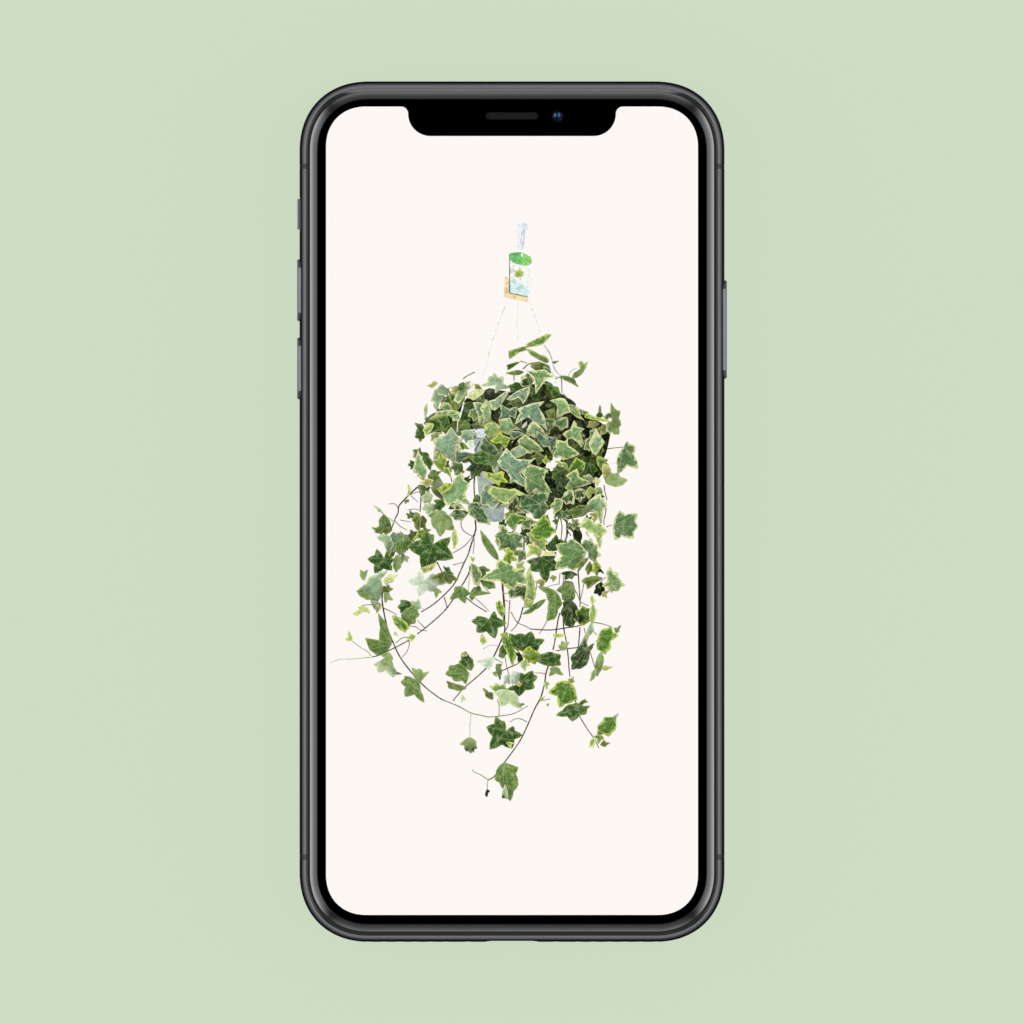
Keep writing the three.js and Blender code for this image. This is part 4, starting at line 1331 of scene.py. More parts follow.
def make_leaf_blank():
    select_none()
    bpy.ops.mesh.primitive_circle_add(vertices=LEAF_SPOKES, radius=1)
    blank = bpy.context.object
    bpy.ops.object.mode_set(mode="EDIT")
    bpy.ops.mesh.select_all(action="DESELECT")
    edit = bmesh.from_edit_mesh(blank.data)
    edit.verts.ensure_lookup_table()
    ends = {edit.verts[0], edit.verts[LEAF_SPOKES - 1]}
    for edge in edit.edges:
        edge.select = set(edge.verts) == ends
    bpy.ops.mesh.delete(type="EDGE")
    bpy.ops.mesh.select_all(action="SELECT")
    size = 1.0
    for ring in LEAF_RINGS:
        bpy.ops.mesh.extrude_region_move()
        bpy.ops.transform.resize(value=(ring / size, ring / size, 1), center_override=(0, 0, 0))
        size = ring
    bpy.ops.mesh.extrude_region_move()
    bpy.ops.mesh.merge(type="CENTER")
    bpy.ops.mesh.select_all(action="SELECT")
    bpy.ops.mesh.normals_make_consistent(inside=False)
    bpy.ops.object.mode_set(mode="OBJECT")
    return blank


leaf_blank = make_leaf_blank()
start = np.array([vertex.co[:2] for vertex in leaf_blank.data.vertices])
LEAF_REACH = np.hypot(start[:, 0], start[:, 1])
first_angle = math.atan2(start[0, 1], start[0, 0])
angles = (np.arctan2(start[:, 1], start[:, 0]) - first_angle) % (2 * math.pi)
LEAF_SPOKE = np.rint(angles / (2 * math.pi / LEAF_SPOKES)).astype(int) % LEAF_SPOKES
print("The blank has", len(leaf_blank.data.polygons), "faces")


# %% Outline of one leaf
HOLLOW_DEPTH = 0.24
LEAF_GROWTH = 1.04
BULGE = 0.15
TRACED_BULGE = 0.03
TIP_REACH = 1.06
HOLLOW_REACH = 0.93


def hollow_between(base, a, b):
    """The deepest point between two lobes. Lobes that stand far apart leave a deeper hollow."""
    spread = math.degrees((a - base).angle(b - base, 0.0))
    depth = 1 - HOLLOW_DEPTH * min(max((spread - 16) / 30, 0), 1)
    return base + ((a + b) / 2 - base) * depth


def leaf_outline(base, marks):
    """Points round a leaf, anticlockwise: from its stalk and back, or all round a stalk that lies inside."""
    base = Vector(on_screen(base))
    is_traced = len(marks) > LOBED_UP_TO or any(len(mark) == 3 for mark in marks)
    edge = [(Vector(on_screen(mark[:2])), len(mark) == 2) for mark in marks]
    if is_traced:
        swell = TRACED_BULGE
        middle = sum((point for point, is_tip in edge), base) / (len(edge) + 1)
        reach = {True: TIP_REACH, False: HOLLOW_REACH}
        edge = [(middle.lerp(point, reach[is_tip]), is_tip) for point, is_tip in edge]
    else:
        swell = BULGE
        edge = [(base.lerp(point, LEAF_GROWTH), is_tip) for point, is_tip in edge]
    ring = [base] + [point for point, is_tip in edge]
    if sum(a.x * b.y - b.x * a.y for a, b in zip(ring, ring[1:] + ring[:1])) < 0:
        edge.reverse()
    stalk_inside = is_traced and is_inside(np.array([base]), np.array([point for point, is_tip in edge]))[0]
    corners = [] if stalk_inside else [base]
    for i, (point, is_tip) in enumerate(edge):
        if i and not is_traced:
            corners.append(hollow_between(base, edge[i - 1][0], point))
        corners.append(point)
    corners.append(corners[0])
    points = [corners[0]]
    steps, extra = divmod(LEAF_SPOKES - 1 if stalk_inside else LEAF_SPOKES + 1, len(corners) - 1)
    for i, (a, b) in enumerate(zip(corners, corners[1:])):
        along = b - a
        bulge = (a + b) / 2 + Vector((along.y, -along.x)) * swell
        count = steps + (1 if i < extra else 0)
        for t in (j / count for j in range(1, count + 1)):
            points.append(a * (1 - t) ** 2 + bulge * 2 * t * (1 - t) + b * t ** 2)
    outline = points if stalk_inside else points[1:-1]
    return np.array(base), np.array([point for point, is_tip in edge if is_tip]), np.array(outline)


def distance_to_lines(points, starts, ends):
    """The distance from each point to the nearest of some straight stretches."""
    along = ends - starts
    offset = points[:, None, :] - starts[None]
    share = np.clip((offset * along).sum(2) / np.maximum((along ** 2).sum(1), 1e-9), 0, 1)
    return np.linalg.norm(offset - share[..., None] * along, axis=2).min(1)


def is_inside(points, ring):
    """Which points lie inside a closed ring."""
    x, y = points[:, :1], points[:, 1:]
    ax, ay = ring[:, 0], ring[:, 1]
    bx, by = np.roll(ax, -1), np.roll(ay, -1)
    crosses = ((ay > y) != (by > y)) & (x < (bx - ax) * (y - ay) / np.where(by == ay, 1e-9, by - ay) + ax)
    return crosses.sum(1) % 2 == 1


class Cutting:
    """One leaf of the picture: its kind, outline and mesh points, before it is made."""

    def __init__(self, kind, base, *tips):
        self.kind = kind
        self.base, self.tips, self.outline = leaf_outline(base, tips)
        goes_round = np.allclose(self.outline[0], self.outline[-1])
        self.ring = self.outline[:-1] if goes_round else np.vstack([self.base, self.outline])
        self.points = self.base + LEAF_REACH[:, None] * (self.outline[LEAF_SPOKE] - self.base)
        self.low, self.high = self.ring.min(0), self.ring.max(0)


cuttings = [Cutting(*leaf) for leaf in BACKING_LEAVES + FILLERS + CROWN_LEAVES + TRAILING_LEAVES]
print(len(cuttings), "cuttings,", round(cuttings[-1].outline.shape[0]), "outline points each")

# %% [markdown]
# Light in the picture comes from the upper left. Each lobe is a little arched, so the side of a vein
# that faces the light is brighter. A leaf that lies under another darkens towards it, which is what
# makes the crown look deep: the darkening falls off within half a millimetre of the upper leaf's edge.

# %% Light on each cutting
FULL_LEAF = 14
LIGHT_FROM = np.array((-0.55, 0.83))
SHADE_REACH = 0.46
SHADE_DEPTH = 0.58
DARKEST_SHADE = 0.34
ARCH_LIGHT = 0.16


def light_on(cutting, above):
    """How bright each point of a cutting is, from its own form and from the cuttings above it."""
    axes = cutting.tips - cutting.base
    offset = cutting.points[:, None, :] - cutting.base
    share = np.clip((offset * axes).sum(2) / (axes ** 2).sum(1), 0, 1)
    from_axis = offset - share[..., None] * axes
    nearest = np.linalg.norm(from_axis, axis=2).argmin(1)
    side = from_axis[np.arange(len(nearest)), nearest]
    size = max(np.linalg.norm(axes, axis=1).max(), 0.1)
    light = 1 + ARCH_LIGHT * np.clip((side @ LIGHT_FROM) / (0.25 * size), -1, 1)
    light += 0.05 * (LEAF_REACH - 0.5)
    shade = np.ones(len(light))
    for other in above:
        reach = SHADE_REACH * 3
        if (other.low - reach > cutting.high).any() or (other.high + reach < cutting.low).any():
            continue
        away = distance_to_lines(cutting.points, other.ring, np.roll(other.ring, -1, axis=0))
        covered = np.where(is_inside(cutting.points, other.ring), 1.0, np.exp(-away / SHADE_REACH))
        shade *= 1 - SHADE_DEPTH * covered
    return light * np.maximum(shade, DARKEST_SHADE)


def side_veins(cutting):
    """How far along its nearest main vein a point lies, less its distance: equal along a side vein."""
    axes = cutting.tips - cutting.base
    offset = cutting.points[:, None, :] - cutting.base
    share = np.clip((offset * axes).sum(2) / (axes ** 2).sum(1), 0, 1)
    away = np.linalg.norm(offset - share[..., None] * axes, axis=2)
    nearest = (np.arange(len(away)), away.argmin(1))
    return (share * np.linalg.norm(axes, axis=1))[nearest] - 0.9 * away[nearest]


def set_attribute(mesh, name, values):
    """Stores a number or a colour for each point of a mesh."""
    is_color = values.ndim == 2
    made = mesh.attributes.new(name, "FLOAT_COLOR" if is_color else "FLOAT", "POINT")
    made.data.foreach_set("color" if is_color else "value", values.astype(np.float32).ravel())


def paint(mesh, tone, rim=None, rim_width=0.0, edge=9.0, vein=9.0, side=0.0, vein_strength=0.0, light=1.0):
    """Gives a mesh all that the picture's material reads. A colour is one for all points or one for each."""
    count = len(mesh.vertices)
    for name, color in (("tone", tone), ("rim", tone if rim is None else rim)):
        set_attribute(mesh, name, np.column_stack([np.broadcast_to(color, (count, 3)), np.ones(count)]))
    numbers = {"edge": edge, "vein": vein, "side": side, "light": light, "rim_width": rim_width,
               "vein_strength": vein_strength}
    for name, value in numbers.items():
        set_attribute(mesh, name, np.broadcast_to(value, count))


def make_cutting(cutting, layer, above, dim):
    piece = copy_of(leaf_blank, "leaf")
    height = np.full(len(cutting.points), layer_height(layer))
    piece.data.vertices.foreach_set("co", (np.column_stack([cutting.points, height]) * MM).ravel())
    tone, rim, rim_width, vein_strength = LEAF_KINDS[cutting.kind]
    edge = distance_to_lines(cutting.points, cutting.ring, np.roll(cutting.ring, -1, axis=0)) / MM_PER_PX
    stalks = np.tile(cutting.base, (len(cutting.tips), 1))
    vein = distance_to_lines(cutting.points, stalks, cutting.tips) / MM_PER_PX
    reach = np.linalg.norm(cutting.tips - cutting.base, axis=1).max() / MM_PER_PX
    size = min(max(reach / FULL_LEAF, 0.45), 1.2)
    paint(piece.data, tone, rim, rim_width * size, edge, vein, side_veins(cutting) / MM_PER_PX,
          vein_strength * size, light_on(cutting, above) * dim)
    return piece


def join(pieces, name):
    """Makes one object of several."""
    select_none()
    for piece in pieces:
        piece.select_set(True)
    bpy.context.view_layer.objects.active = pieces[0]
    bpy.ops.object.join()
    pieces[0].name = pieces[0].data.name = name
    return pieces[0]


# %% Cut out and lay every leaf
FIRST_LEAF_LAYER = 80
FILLER_LIGHT = 0.85
tone_draw = random.Random(11)
leaves = []
for i, cutting in enumerate(cuttings):
    is_filler = 0 <= i - len(BACKING_LEAVES) < len(FILLERS)
    dim = tone_draw.uniform(0.92, 1.08) * (FILLER_LIGHT if is_filler else 1.0)
    leaves.append(make_cutting(cutting, FIRST_LEAF_LAYER + i, cuttings[i + 1:], dim))
foliage = join(leaves, "picture_leaves")
finish(foliage, SCREEN_PICTURE, smooth=0)
print("Foliage:", len(foliage.data.polygons), "faces")

# %% [markdown]
# The stems are ribbons: one strip of squares is made once, and each copy is laid along a smooth line
# through its own few points, tapering from one width to the other. The stems all lie under the leaves.
# A ribbon is brighter on the side that faces the light, so it looks round.

# %% Ribbons
RIBBON_STEPS = 24
RIBBON_ROUND = 0.28
STEM_WIDTH = 1.22
select_none()
bpy.ops.mesh.primitive_grid_add(x_subdivisions=2, y_subdivisions=RIBBON_STEPS, size=2)
ribbon_blank = bpy.context.object
start = np.array([vertex.co[:2] for vertex in ribbon_blank.data.vertices])
RIBBON_ACROSS, RIBBON_ALONG = start[:, 0], (start[:, 1] + 1) / 2


def smooth_line(points, steps=8):
    """A smooth line through some pixels of the photograph, as places on the screen."""
    given = np.array([on_screen(point) for point in points])
    ends = np.vstack([2 * given[0] - given[1], given, 2 * given[-1] - given[-2]])
    line = []
    for a, b, c, d in zip(ends, ends[1:], ends[2:], ends[3:]):
        for t in np.arange(steps) / steps:
            bend = (2 * a - 5 * b + 4 * c - d) * t ** 2 + (3 * b - a - 3 * c + d) * t ** 3
            line.append(b + ((c - a) * t + bend) / 2)
    return np.vstack([line, given[-1]])


def read_ribbons(text):
    """Ribbons written one a line, each as its colour, its first and last width and its pixels."""
    rows = [line.split() for line in text.strip().splitlines()]
    return [(color, float(first), float(last), *(tuple(map(float, pixel.split(","))) for pixel in pixels))
            for color, first, last, *pixels in rows]


def make_ribbon(color, first_width, last_width, *points, layer):
    line = smooth_line(points)
    travelled = np.append(0, np.cumsum(np.linalg.norm(np.diff(line, axis=0), axis=1)))
    share = travelled / travelled[-1]
    place = np.column_stack([np.interp(RIBBON_ALONG, share, line[:, i]) for i in (0, 1)])
    slope = np.gradient(line, axis=0)
    heading = np.column_stack([np.interp(RIBBON_ALONG, share, slope[:, i]) for i in (0, 1)])
    heading /= np.linalg.norm(heading, axis=1)[:, None]
    across = np.column_stack([heading[:, 1], -heading[:, 0]]) * RIBBON_ACROSS[:, None]
    half = np.interp(RIBBON_ALONG, (0, 1), (first_width, last_width)) * MM_PER_PX / 2 * STEM_WIDTH
    piece = copy_of(ribbon_blank, "ribbon")
    height = np.full(len(place), layer_height(layer))
    points = np.column_stack([place + across * half[:, None], height]) * MM
    piece.data.vertices.foreach_set("co", points.ravel())
    paint(piece.data, STEM_COLORS[color], light=1 + RIBBON_ROUND * (across @ LIGHT_FROM))
    return piece


# %% Stems and stalks
STEM_COLORS = {
    "brown": shown(70, 50, 40), "black": shown(44, 38, 34), "grey": shown(118, 110, 88),
    "bark": shown(108, 88, 66),
    "stalk": shown(128, 144, 92), "olive": shown(104, 110, 60), "tan": shown(134, 108, 84),
    "cream": shown(206, 208, 140),
    "pale": shown(196, 204, 168), "lavender": shown(190, 186, 204), "wire": shown(247, 249, 252),
    "faint": shown(239, 240, 242), "hook": shown(222, 226, 240),
}
STEMS = read_ribbons("""
brown 1.3 0.9 420,485 412,492 405,499 399,506 398,513 395,519 391,530 389,533
grey 0.8 0.6 398,508 395,504 388,504
grey 0.8 0.6 410,495 417,492 421,492
grey 0.7 0.5 411,496 418,502
brown 0.9 0.9 420,485 421,498 420,512
grey 0.7 0.5 420,498 426,504
grey 0.7 0.6 408,510 414,509 419,510
grey 0.7 0.5 400,520 411,522
stalk 0.9 0.7 381,511 388,520 394,521
stalk 0.9 0.7 395,521 400,526 407,530
brown 1.3 0.9 475,520 476,528 474,536 471,545 468,555 464,563 456,581 450,589 442,597 435,603 428,608 \
    421,612
grey 0.8 0.6 474,536 474,545 473,554
brown 1.2 0.9 470,566 469,573 461,587 457,593 447,608 437,618 424,629 417,634
brown 1 0.8 409,640 400,645 388,651 380,655 372,657
pale 0.9 0.6 372,657 352,659 343,659 337,660 330,663
grey 0.9 0.7 462,517 461,524 463,530 468,534 472,536
grey 0.8 0.7 453,553 463,547 470,540 474,534
grey 0.8 0.6 453,565 464,562
brown 1 0.8 455,587 461,593 469,600 477,606 487,612
grey 0.7 0.6 474,597 482,604 489,611
brown 0.9 0.7 444,597 446,603 447,608
pale 1 0.7 470,570 469,582 468,592
stalk 0.9 0.7 480,580 484,587 490,593
brown 1.3 1 383,590 382,600 385,618 388,630 392,640 400,657 412,673 424,686 438,697 443,700
stalk 1 0.7 443,700 458,706 471,713 480,715 490,717 507,715 515,713 528,706
brown 0.8 0.6 383,608 390,611 397,615
grey 0.8 0.6 383,606 375,605 365,605 358,608
pale 0.8 0.6 401,616 404,610 411,606 420,607 425,610
olive 0.8 0.6 396,643 402,638 408,637
grey 0.8 0.6 409,640 409,646 406,653 402,657
grey 0.8 0.6 425,628 421,624 417,620
grey 0.8 0.6 410,626 416,627 420,630
olive 0.8 0.6 420,630 427,631
grey 0.6 0.5 371,656 368,652 360,647 352,641
pale 0.8 0.6 471,713 470,725 470,737
stalk 0.8 0.6 499,716 499,706 497,699
pale 0.9 0.7 458,678 463,673 468,672 471,677
brown 1.6 1.2 502,580 503,592 504,605 504,620 505,630
tan 0.6 0.5 503,582 504,594 505,606 505,626
tan 1 0.8 510,600 509,612 508,625 505,631
grey 0.7 0.5 504,593 507,594
grey 0.7 0.5 505,600 509,602
brown 1.3 0.8 505,630 501,641 494,656 490,664 478,676 465,687 456,697 453,701
tan 1.5 1.2 523,525 524,535 524,548 523,556
tan 0.8 0.6 524,529 528,528
brown 1.1 0.8 523,607 520,618 516,626 511,631
tan 0.9 0.7 511,612 517,622 525,626 531,629
brown 1 0.9 530,629 550,630 565,628 578,626 585,622
grey 0.9 0.7 592,622 603,624 612,627
grey 0.8 0.6 590,628 597,635
grey 0.8 0.6 596,642 599,638
grey 0.8 0.6 547,621 543,628 539,634
brown 1 0.8 502,671 508,668 515,665 521,661 521,656 518,651 512,646
stalk 0.8 0.6 505,657 507,668 511,680 514,690 516,697 517,703
grey 0.8 0.6 494,658 499,661 503,663
lavender 0.8 0.6 483,649 488,646 493,645 498,646
brown 1.1 1.1 560,613 558,620 555,640 553,650
brown 1.2 0.9 549,664 546,673 545,681 541,697 535,708 529,722 521,739 513,751 504,763 495,776 488,780
stalk 0.8 0.5 488,780 484,777 479,774 474,772 472,769
grey 0.6 0.5 488,780 487,789
grey 0.8 0.6 550,699 545,700 540,701
grey 0.8 0.6 527,722 521,719 515,719 510,722
grey 0.8 0.6 546,674 541,673 535,673
brown 1.1 0.9 563,618 564,630 566,640 568,655 569,668 570,677
brown 1 0.7 571,684 573,692 578,710 580,717 588,730 593,737 599,748
brown 1.1 0.8 580,627 579,640 578,647 573,648 565,649 556,651
grey 0.8 0.6 584,628 586,636
grey 0.9 0.7 586,643 591,655 594,665 597,674
brown 1.1 0.9 578,570 579,585 580,600 580,607
grey 0.8 0.6 584,583 582,593 580,602
olive 0.8 0.6 574,588 578,596 580,602
grey 0.8 0.6 580,602 589,606
brown 1.2 0.9 559,515 557,525 555,533
grey 1 0.8 561,520 562,528 561,540
black 1.8 1.5 566,513 567,525 567,535 565,541
brown 1 0.8 567,530 571,536
black 2.2 2 573,522 577,535 578,545
grey 0.8 0.6 586,532 589,537
grey 0.8 0.7 560,573 559,585
grey 0.8 0.7 563,575 564,585
grey 0.6 0.6 545,588 550,586 558,584
grey 0.8 0.6 536,590 537,580
grey 0.8 0.6 600,582 606,577
brown 0.9 0.7 604,485 605,492 607,500
brown 0.9 0.7 605,500 606,510 604,520 604,525
grey 0.8 0.6 606,527 612,525
grey 0.9 0.6 606,449 614,448 624,447
faint 0.8 0.6 610,463 620,463
grey 0.8 0.7 520,361 527,363
grey 1 0.8 514,375 514,381
olive 1.1 0.8 523,369 529,364 540,362
lavender 1 0.9 544,345 549,352 552,360 555,370 561,376
faint 0.8 0.6 545,347 547,354
pale 0.9 0.7 568,377 571,371 577,368
grey 1 0.8 555,379 561,378 562,393
grey 1 0.7 563,394 568,399 570,404
olive 1 0.8 463,379 467,376 475,372
brown 1 0.8 480,441 475,451
brown 1 0.8 450,474 452,482
brown 1.1 0.8 437,562 441,570 444,574
brown 1.2 1 475,474 474,486 475,500
cream 1.6 1.2 445,505 453,500 460,505 468,513 475,518
brown 1 0.8 588,456 590,466 589,478
bark 1 0.8 584,456 586,466 592,476
""")
FIRST_STEM_LAYER = 16
stems = [make_ribbon(*stem, layer=FIRST_STEM_LAYER + 0.6 * i) for i, stem in enumerate(STEMS)]
finish(join(stems, "picture_stems"), SCREEN_PICTURE, smooth=0)
print(len(STEMS), "stems and stalks")

# %% [markdown]
# The pot, the plant's tag and the hook are patches: a small grid whose upper edge follows one line
# and whose lower edge follows another, with up to three colours from left to right. The wire hanger is
# ribbons, and so are the hook's bends and two lines on the tag.
# The tag is plain, with two bands of colour and a small leaf.

# %% Patches
select_none()
bpy.ops.mesh.primitive_grid_add(x_subdivisions=12, y_subdivisions=5, size=2)
patch_blank = bpy.context.object
start = np.array([vertex.co[:2] for vertex in patch_blank.data.vertices])
PATCH_ACROSS, PATCH_UP = (start[:, 0] + 1) / 2, (start[:, 1] + 1) / 2


def along(points, share):
    """Places at given shares of the way along straight stretches between pixels."""
    given = np.array([on_screen(point) for point in points])
    reached = np.append(0, np.cumsum(np.linalg.norm(np.diff(given, axis=0), axis=1)))
    return np.column_stack([np.interp(share, reached / reached[-1], given[:, i]) for i in (0, 1)])


def make_patch(upper, lower, *colors, layer):
    mix = PATCH_UP[:, None]
    place = along(upper, PATCH_ACROSS) * mix + along(lower, PATCH_ACROSS) * (1 - mix)
    stops = np.linspace(0, 1, len(colors))
    tone = np.column_stack([np.interp(PATCH_ACROSS, stops, [color[i] for color in colors]) for i in range(3)])
    piece = copy_of(patch_blank, "patch")
    height = np.full(len(place), layer_height(layer))
    piece.data.vertices.foreach_set("co", (np.column_stack([place, height]) * MM).ravel())
    paint(piece.data, tone)
    return piece


# %% Pot behind the leaves
POT_PATCHES = [
    ([(473, 438), (512, 438)], [(480, 505.5), (493, 506), (505, 505.5)],
     shown(166, 177, 169), shown(176, 186, 180), shown(150, 160, 156)),
    ([(470, 428), (490, 426.5), (514, 428)], [(471, 437.5), (490, 438.5), (513, 437.5)],
     shown(228, 234, 242), shown(222, 229, 240), shown(206, 214, 224)),
    ([(472, 437.2), (490, 438.2), (512, 437.2)], [(472, 438.4), (490, 439.6), (512, 438.4)],
     shown(128, 138, 132), shown(120, 130, 126)),
    ([(480.5, 507), (504.5, 507)], [(483.5, 521), (494, 522), (503.5, 521)],
     shown(188, 197, 197), shown(162, 174, 170), shown(148, 158, 164)),
    ([(481, 505.4), (493, 505.8), (505, 505.2)], [(481, 507), (493, 507.4), (505, 507)],
     shown(150, 160, 156), shown(110, 125, 120), shown(112, 126, 122)),
]
pot = [make_patch(*patch, layer=2 + i) for i, patch in enumerate(POT_PATCHES)]
finish(join(pot, "picture_pot"), SCREEN_PICTURE, smooth=0)
print(len(POT_PATCHES), "patches make the pot")

# %% Hook, hanger and tag
TAG_PATCHES = [
    ([(517, 223.5), (527, 222.5)], [(517, 250), (522.5, 250)],
     shown(241, 246, 252), shown(240, 246, 252), shown(236, 240, 248)),
    ([(505, 276), (528, 292)], [(504, 297), (515, 300), (527.5, 302)],
     shown(252, 222, 178), shown(253, 226, 184)),
    ([(510, 258), (520, 262), (531.5, 262)], [(510, 281), (520, 283), (531, 291.5)],
     shown(251, 249, 247), shown(252, 251, 250)),
    ([(510, 253), (519, 252), (524, 253), (531, 257), (532, 261)],
     [(510, 260), (514, 263), (520, 265), (527, 266), (531, 264)],
     shown(110, 190, 130), shown(122, 208, 104), shown(170, 215, 130)),
    ([(510, 280), (520, 282), (527, 287), (531, 291)], [(510, 293), (520, 295), (528, 297)],
     shown(216, 241, 245), shown(218, 243, 247)),
    ([(521, 253.6), (522, 253.1), (523, 253.6)], [(521, 256.2), (522, 256.9), (523, 256.2)],
     shown(252, 250, 247)),
]
TAG_LINES = read_ribbons("""
olive 0.8 0.8 510,293.2 520,295.2 528,297.2
grey 0.7 0.9 509.6,254 509.6,275 509.6,293
""")
HANGER = read_ribbons("""
hook 1.4 1.4 523,223 524,235 523,245 522,250
hook 2 1.4 524,225 526,224 527,229
wire 1.2 1.2 506,303 494,335 483,375
wire 1.2 1.2 517,303 517,340
wire 1.2 1.2 529,302 536,320 540,335
wire 1.3 1 549,362 552,372 557,385
wire 1.1 1.1 473,382 470,392 468,397
wire 1.3 1.3 464,402 462,410 460,417
faint 0.9 0.6 458,420 457,432
""")
FRONT_LAYER = 720
TAG_LEAF = ("sprout", (518, 278), (514, 275), (515.5, 271), (520, 268), (524, 272), (523, 276))
tag = [make_patch(*patch, layer=2 + i) for i, patch in enumerate(TAG_PATCHES)]
tag += [make_ribbon(*line, layer=12 + i) for i, line in enumerate(TAG_LINES)]
tag.append(make_cutting(Cutting(*TAG_LEAF), 14, [], 1.0))
finish(join(tag, "picture_tag"), SCREEN_PICTURE, smooth=0)
hanger = [make_ribbon(*line, layer=FRONT_LAYER + i) for i, line in enumerate(HANGER)]
finish(join(hanger, "picture_hanger"), SCREEN_PICTURE, smooth=0)
for blank in (leaf_blank, ribbon_blank, patch_blank):
    bpy.data.objects.remove(blank)
print("Tag, hook and hanger laid on the screen")

# %% [markdown]
# ## Keys and the ring switch
#
# A key is a rounded bar that stands a little out of the rail. Its cap is lofted outwards from the foot
# that holds it in, and the last rings follow a quarter circle, so its rim is soft all round.

# %% Keys
KEY_RIM = 0.26
RIM_STEPS = 6
FOOT_THICKNESS = 0.5
FOOT_OVERLAP = 0.8


def cap_rings(outline_at, inner, outer, side, rim):
    """Rings of a cap from its root to its rounded top. outline_at gives its outline for an inset."""
    rings = [facing_x(outline_at(0), side * inner)]
    for i in range(RIM_STEPS + 1):
        turn = i / RIM_STEPS * math.pi / 2
        reach = outer - rim + rim * math.sin(turn)
        rings.append(facing_x(outline_at(rim * (1 - math.cos(turn))), side * reach))
    return rings


def make_key(node, side):
    low, high, size = size_of(node)
    outer = max(abs(low.x), abs(high.x))
    inner = min(abs(low.x), abs(high.x))
    centre = ((low.y + high.y) / 2, MIDDLE_Z)
    length = size.y - 2 * FOOT_OVERLAP

    def outline_at(inset):
        return stadium(length - 2 * inset, KEY_HEIGHT - 2 * inset, centre, steps=10)

    foot = stadium(size.y, size.z, centre, steps=10)
    rings = [facing_x(foot, side * inner), facing_x(foot, side * (inner + FOOT_THICKNESS))]
    rings += cap_rings(outline_at, inner + FOOT_THICKNESS, outer, side, KEY_RIM)
    return loft(node + "_cap", rings)


# The keys carry a painted highlight along the top and bottom of the cap.
for node, side in KEYS.items():
    owner = next(name for name, members in frame["record"]["behaviour"]["bodies"].items() if node in members)
    finish(make_key(node, side), KEY_METAL, node, body=owner)


def make_switch():
    lever = (5.2, 1.6)
    centre = (SWITCH_Y, switch_high.z - 1.3)
    outer, inner = -switch_low.x, -switch_high.x

    def outline_at(inset):
        return stadium(lever[0] - 2 * inset, lever[1] - 2 * inset, centre, steps=10)

    plate_centre = (SWITCH_Y, (switch_low.z + switch_high.z) / 2)
    plate = soft_rectangle(switch_size.y, switch_size.z, 0.5, plate_centre, steps=9)
    rings = [facing_x(plate, -inner), facing_x(plate, -inner - 0.4)]
    rings += cap_rings(outline_at, inner + 0.4, outer, -1, 0.25)
    return loft("ring_switch_lever", rings)


finish(make_switch(), SWITCH_METAL, "ring_switch", body="ring")
print("Keys:", [node for node in KEYS], "switch at", round(SWITCH_Y, 1))

# %% [markdown]
# ## Cameras
#
# A camera looks like a set of dark steps that narrow down to a domed lens. That is one loft: rings of
# falling radius, each a little deeper. The lens has a coating that reflects blue and violet, so its
# colour depends on the distance from its own centre. On the front lens two brighter glints, as in the
# photograph, are painted highlights that shine on their own, with a painted reflection and a dim painted
# shine.

# %% Camera finishes
BARREL_BLACK = surface("barrel_black", (0.012, 0.012, 0.014), 0.4, spread=0.25, grain=0.2, grain_scale=5000.0)
BEZEL_METAL = surface(
    "bezel_metal", (0.16, 0.155, 0.175), 0.22, 1.0, spread=0.1, grain=0.06, stretch=(1, 1, 6))


def distance_from(tree, x, y):
    """The distance of a surface point from an upright axis, in millimetres, and its offset as X and Y."""
    place = add_node(tree, "TexCoord").outputs["Object"]
    moved = add_node(
        tree, "Mapping", {"Vector": place, "Location": (-x, -y, 0), "Scale": (1 / MM, 1 / MM, 0)})
    parts = add_node(tree, "SeparateXYZ", {0: moved.outputs[0]}).outputs
    return add_node(tree, "VectorMath", {0: moved.outputs[0]}, operation="LENGTH").outputs["Value"], parts


def lens_coating(name, x, y, radius, glints=()):
    """Coated glass, blue in the middle and violet further out. A glint is (x, y, width, height, colour), a
    painted spot that shines on its own.
    """
    material, tree, shader = new_material(name)
    away, parts = distance_from(tree, x, y)
    share = maths(tree, "DIVIDE", away, radius)
    color = ramp(tree, share, [(0.0, (0.004, 0.01, 0.035)), (0.45, (0.003, 0.006, 0.03)),
                               (0.75, (0.012, 0.006, 0.03)), (1.0, (0.004, 0.004, 0.006))])
    varied = use_group(
        tree, VARIATION, Color=color, Color_Spread=0.3, Roughness=0.06, Roughness_Spread=0.04, Scale=900.0)
    tree.links.new(varied["Color"], shader.inputs["Base Color"])
    tree.links.new(varied["Roughness"], shader.inputs["Roughness"])
    # A dim painted blue shine under the painted spots.
    painted_glow = (0.0002, 0.0003, 0.0012)
    for dx, dy, width, height, tint in glints:
        across = maths(tree, "DIVIDE", maths(tree, "SUBTRACT", parts["X"], dx), width)
        up = maths(tree, "DIVIDE", maths(tree, "SUBTRACT", parts["Y"], dy), height)
        square = maths(tree, "ADD", maths(tree, "MULTIPLY", across, across), maths(tree, "MULTIPLY", up, up))
        painted_glow = blend_colors(tree, between(tree, square, 0.35, 1.3, 1.0, 0.0), painted_glow, tint)
    if glints:
        tree.links.new(painted_glow, shader.inputs["Emission Color"])
        shader.inputs["Emission Strength"].default_value = 1.0
        material.cycles.emission_sampling = "NONE"
    shader.inputs["Coat Weight"].default_value = 0.15 if glints else 0.6
    shader.inputs["Specular IOR Level"].default_value = 0.15 if glints else 0.6
    return material


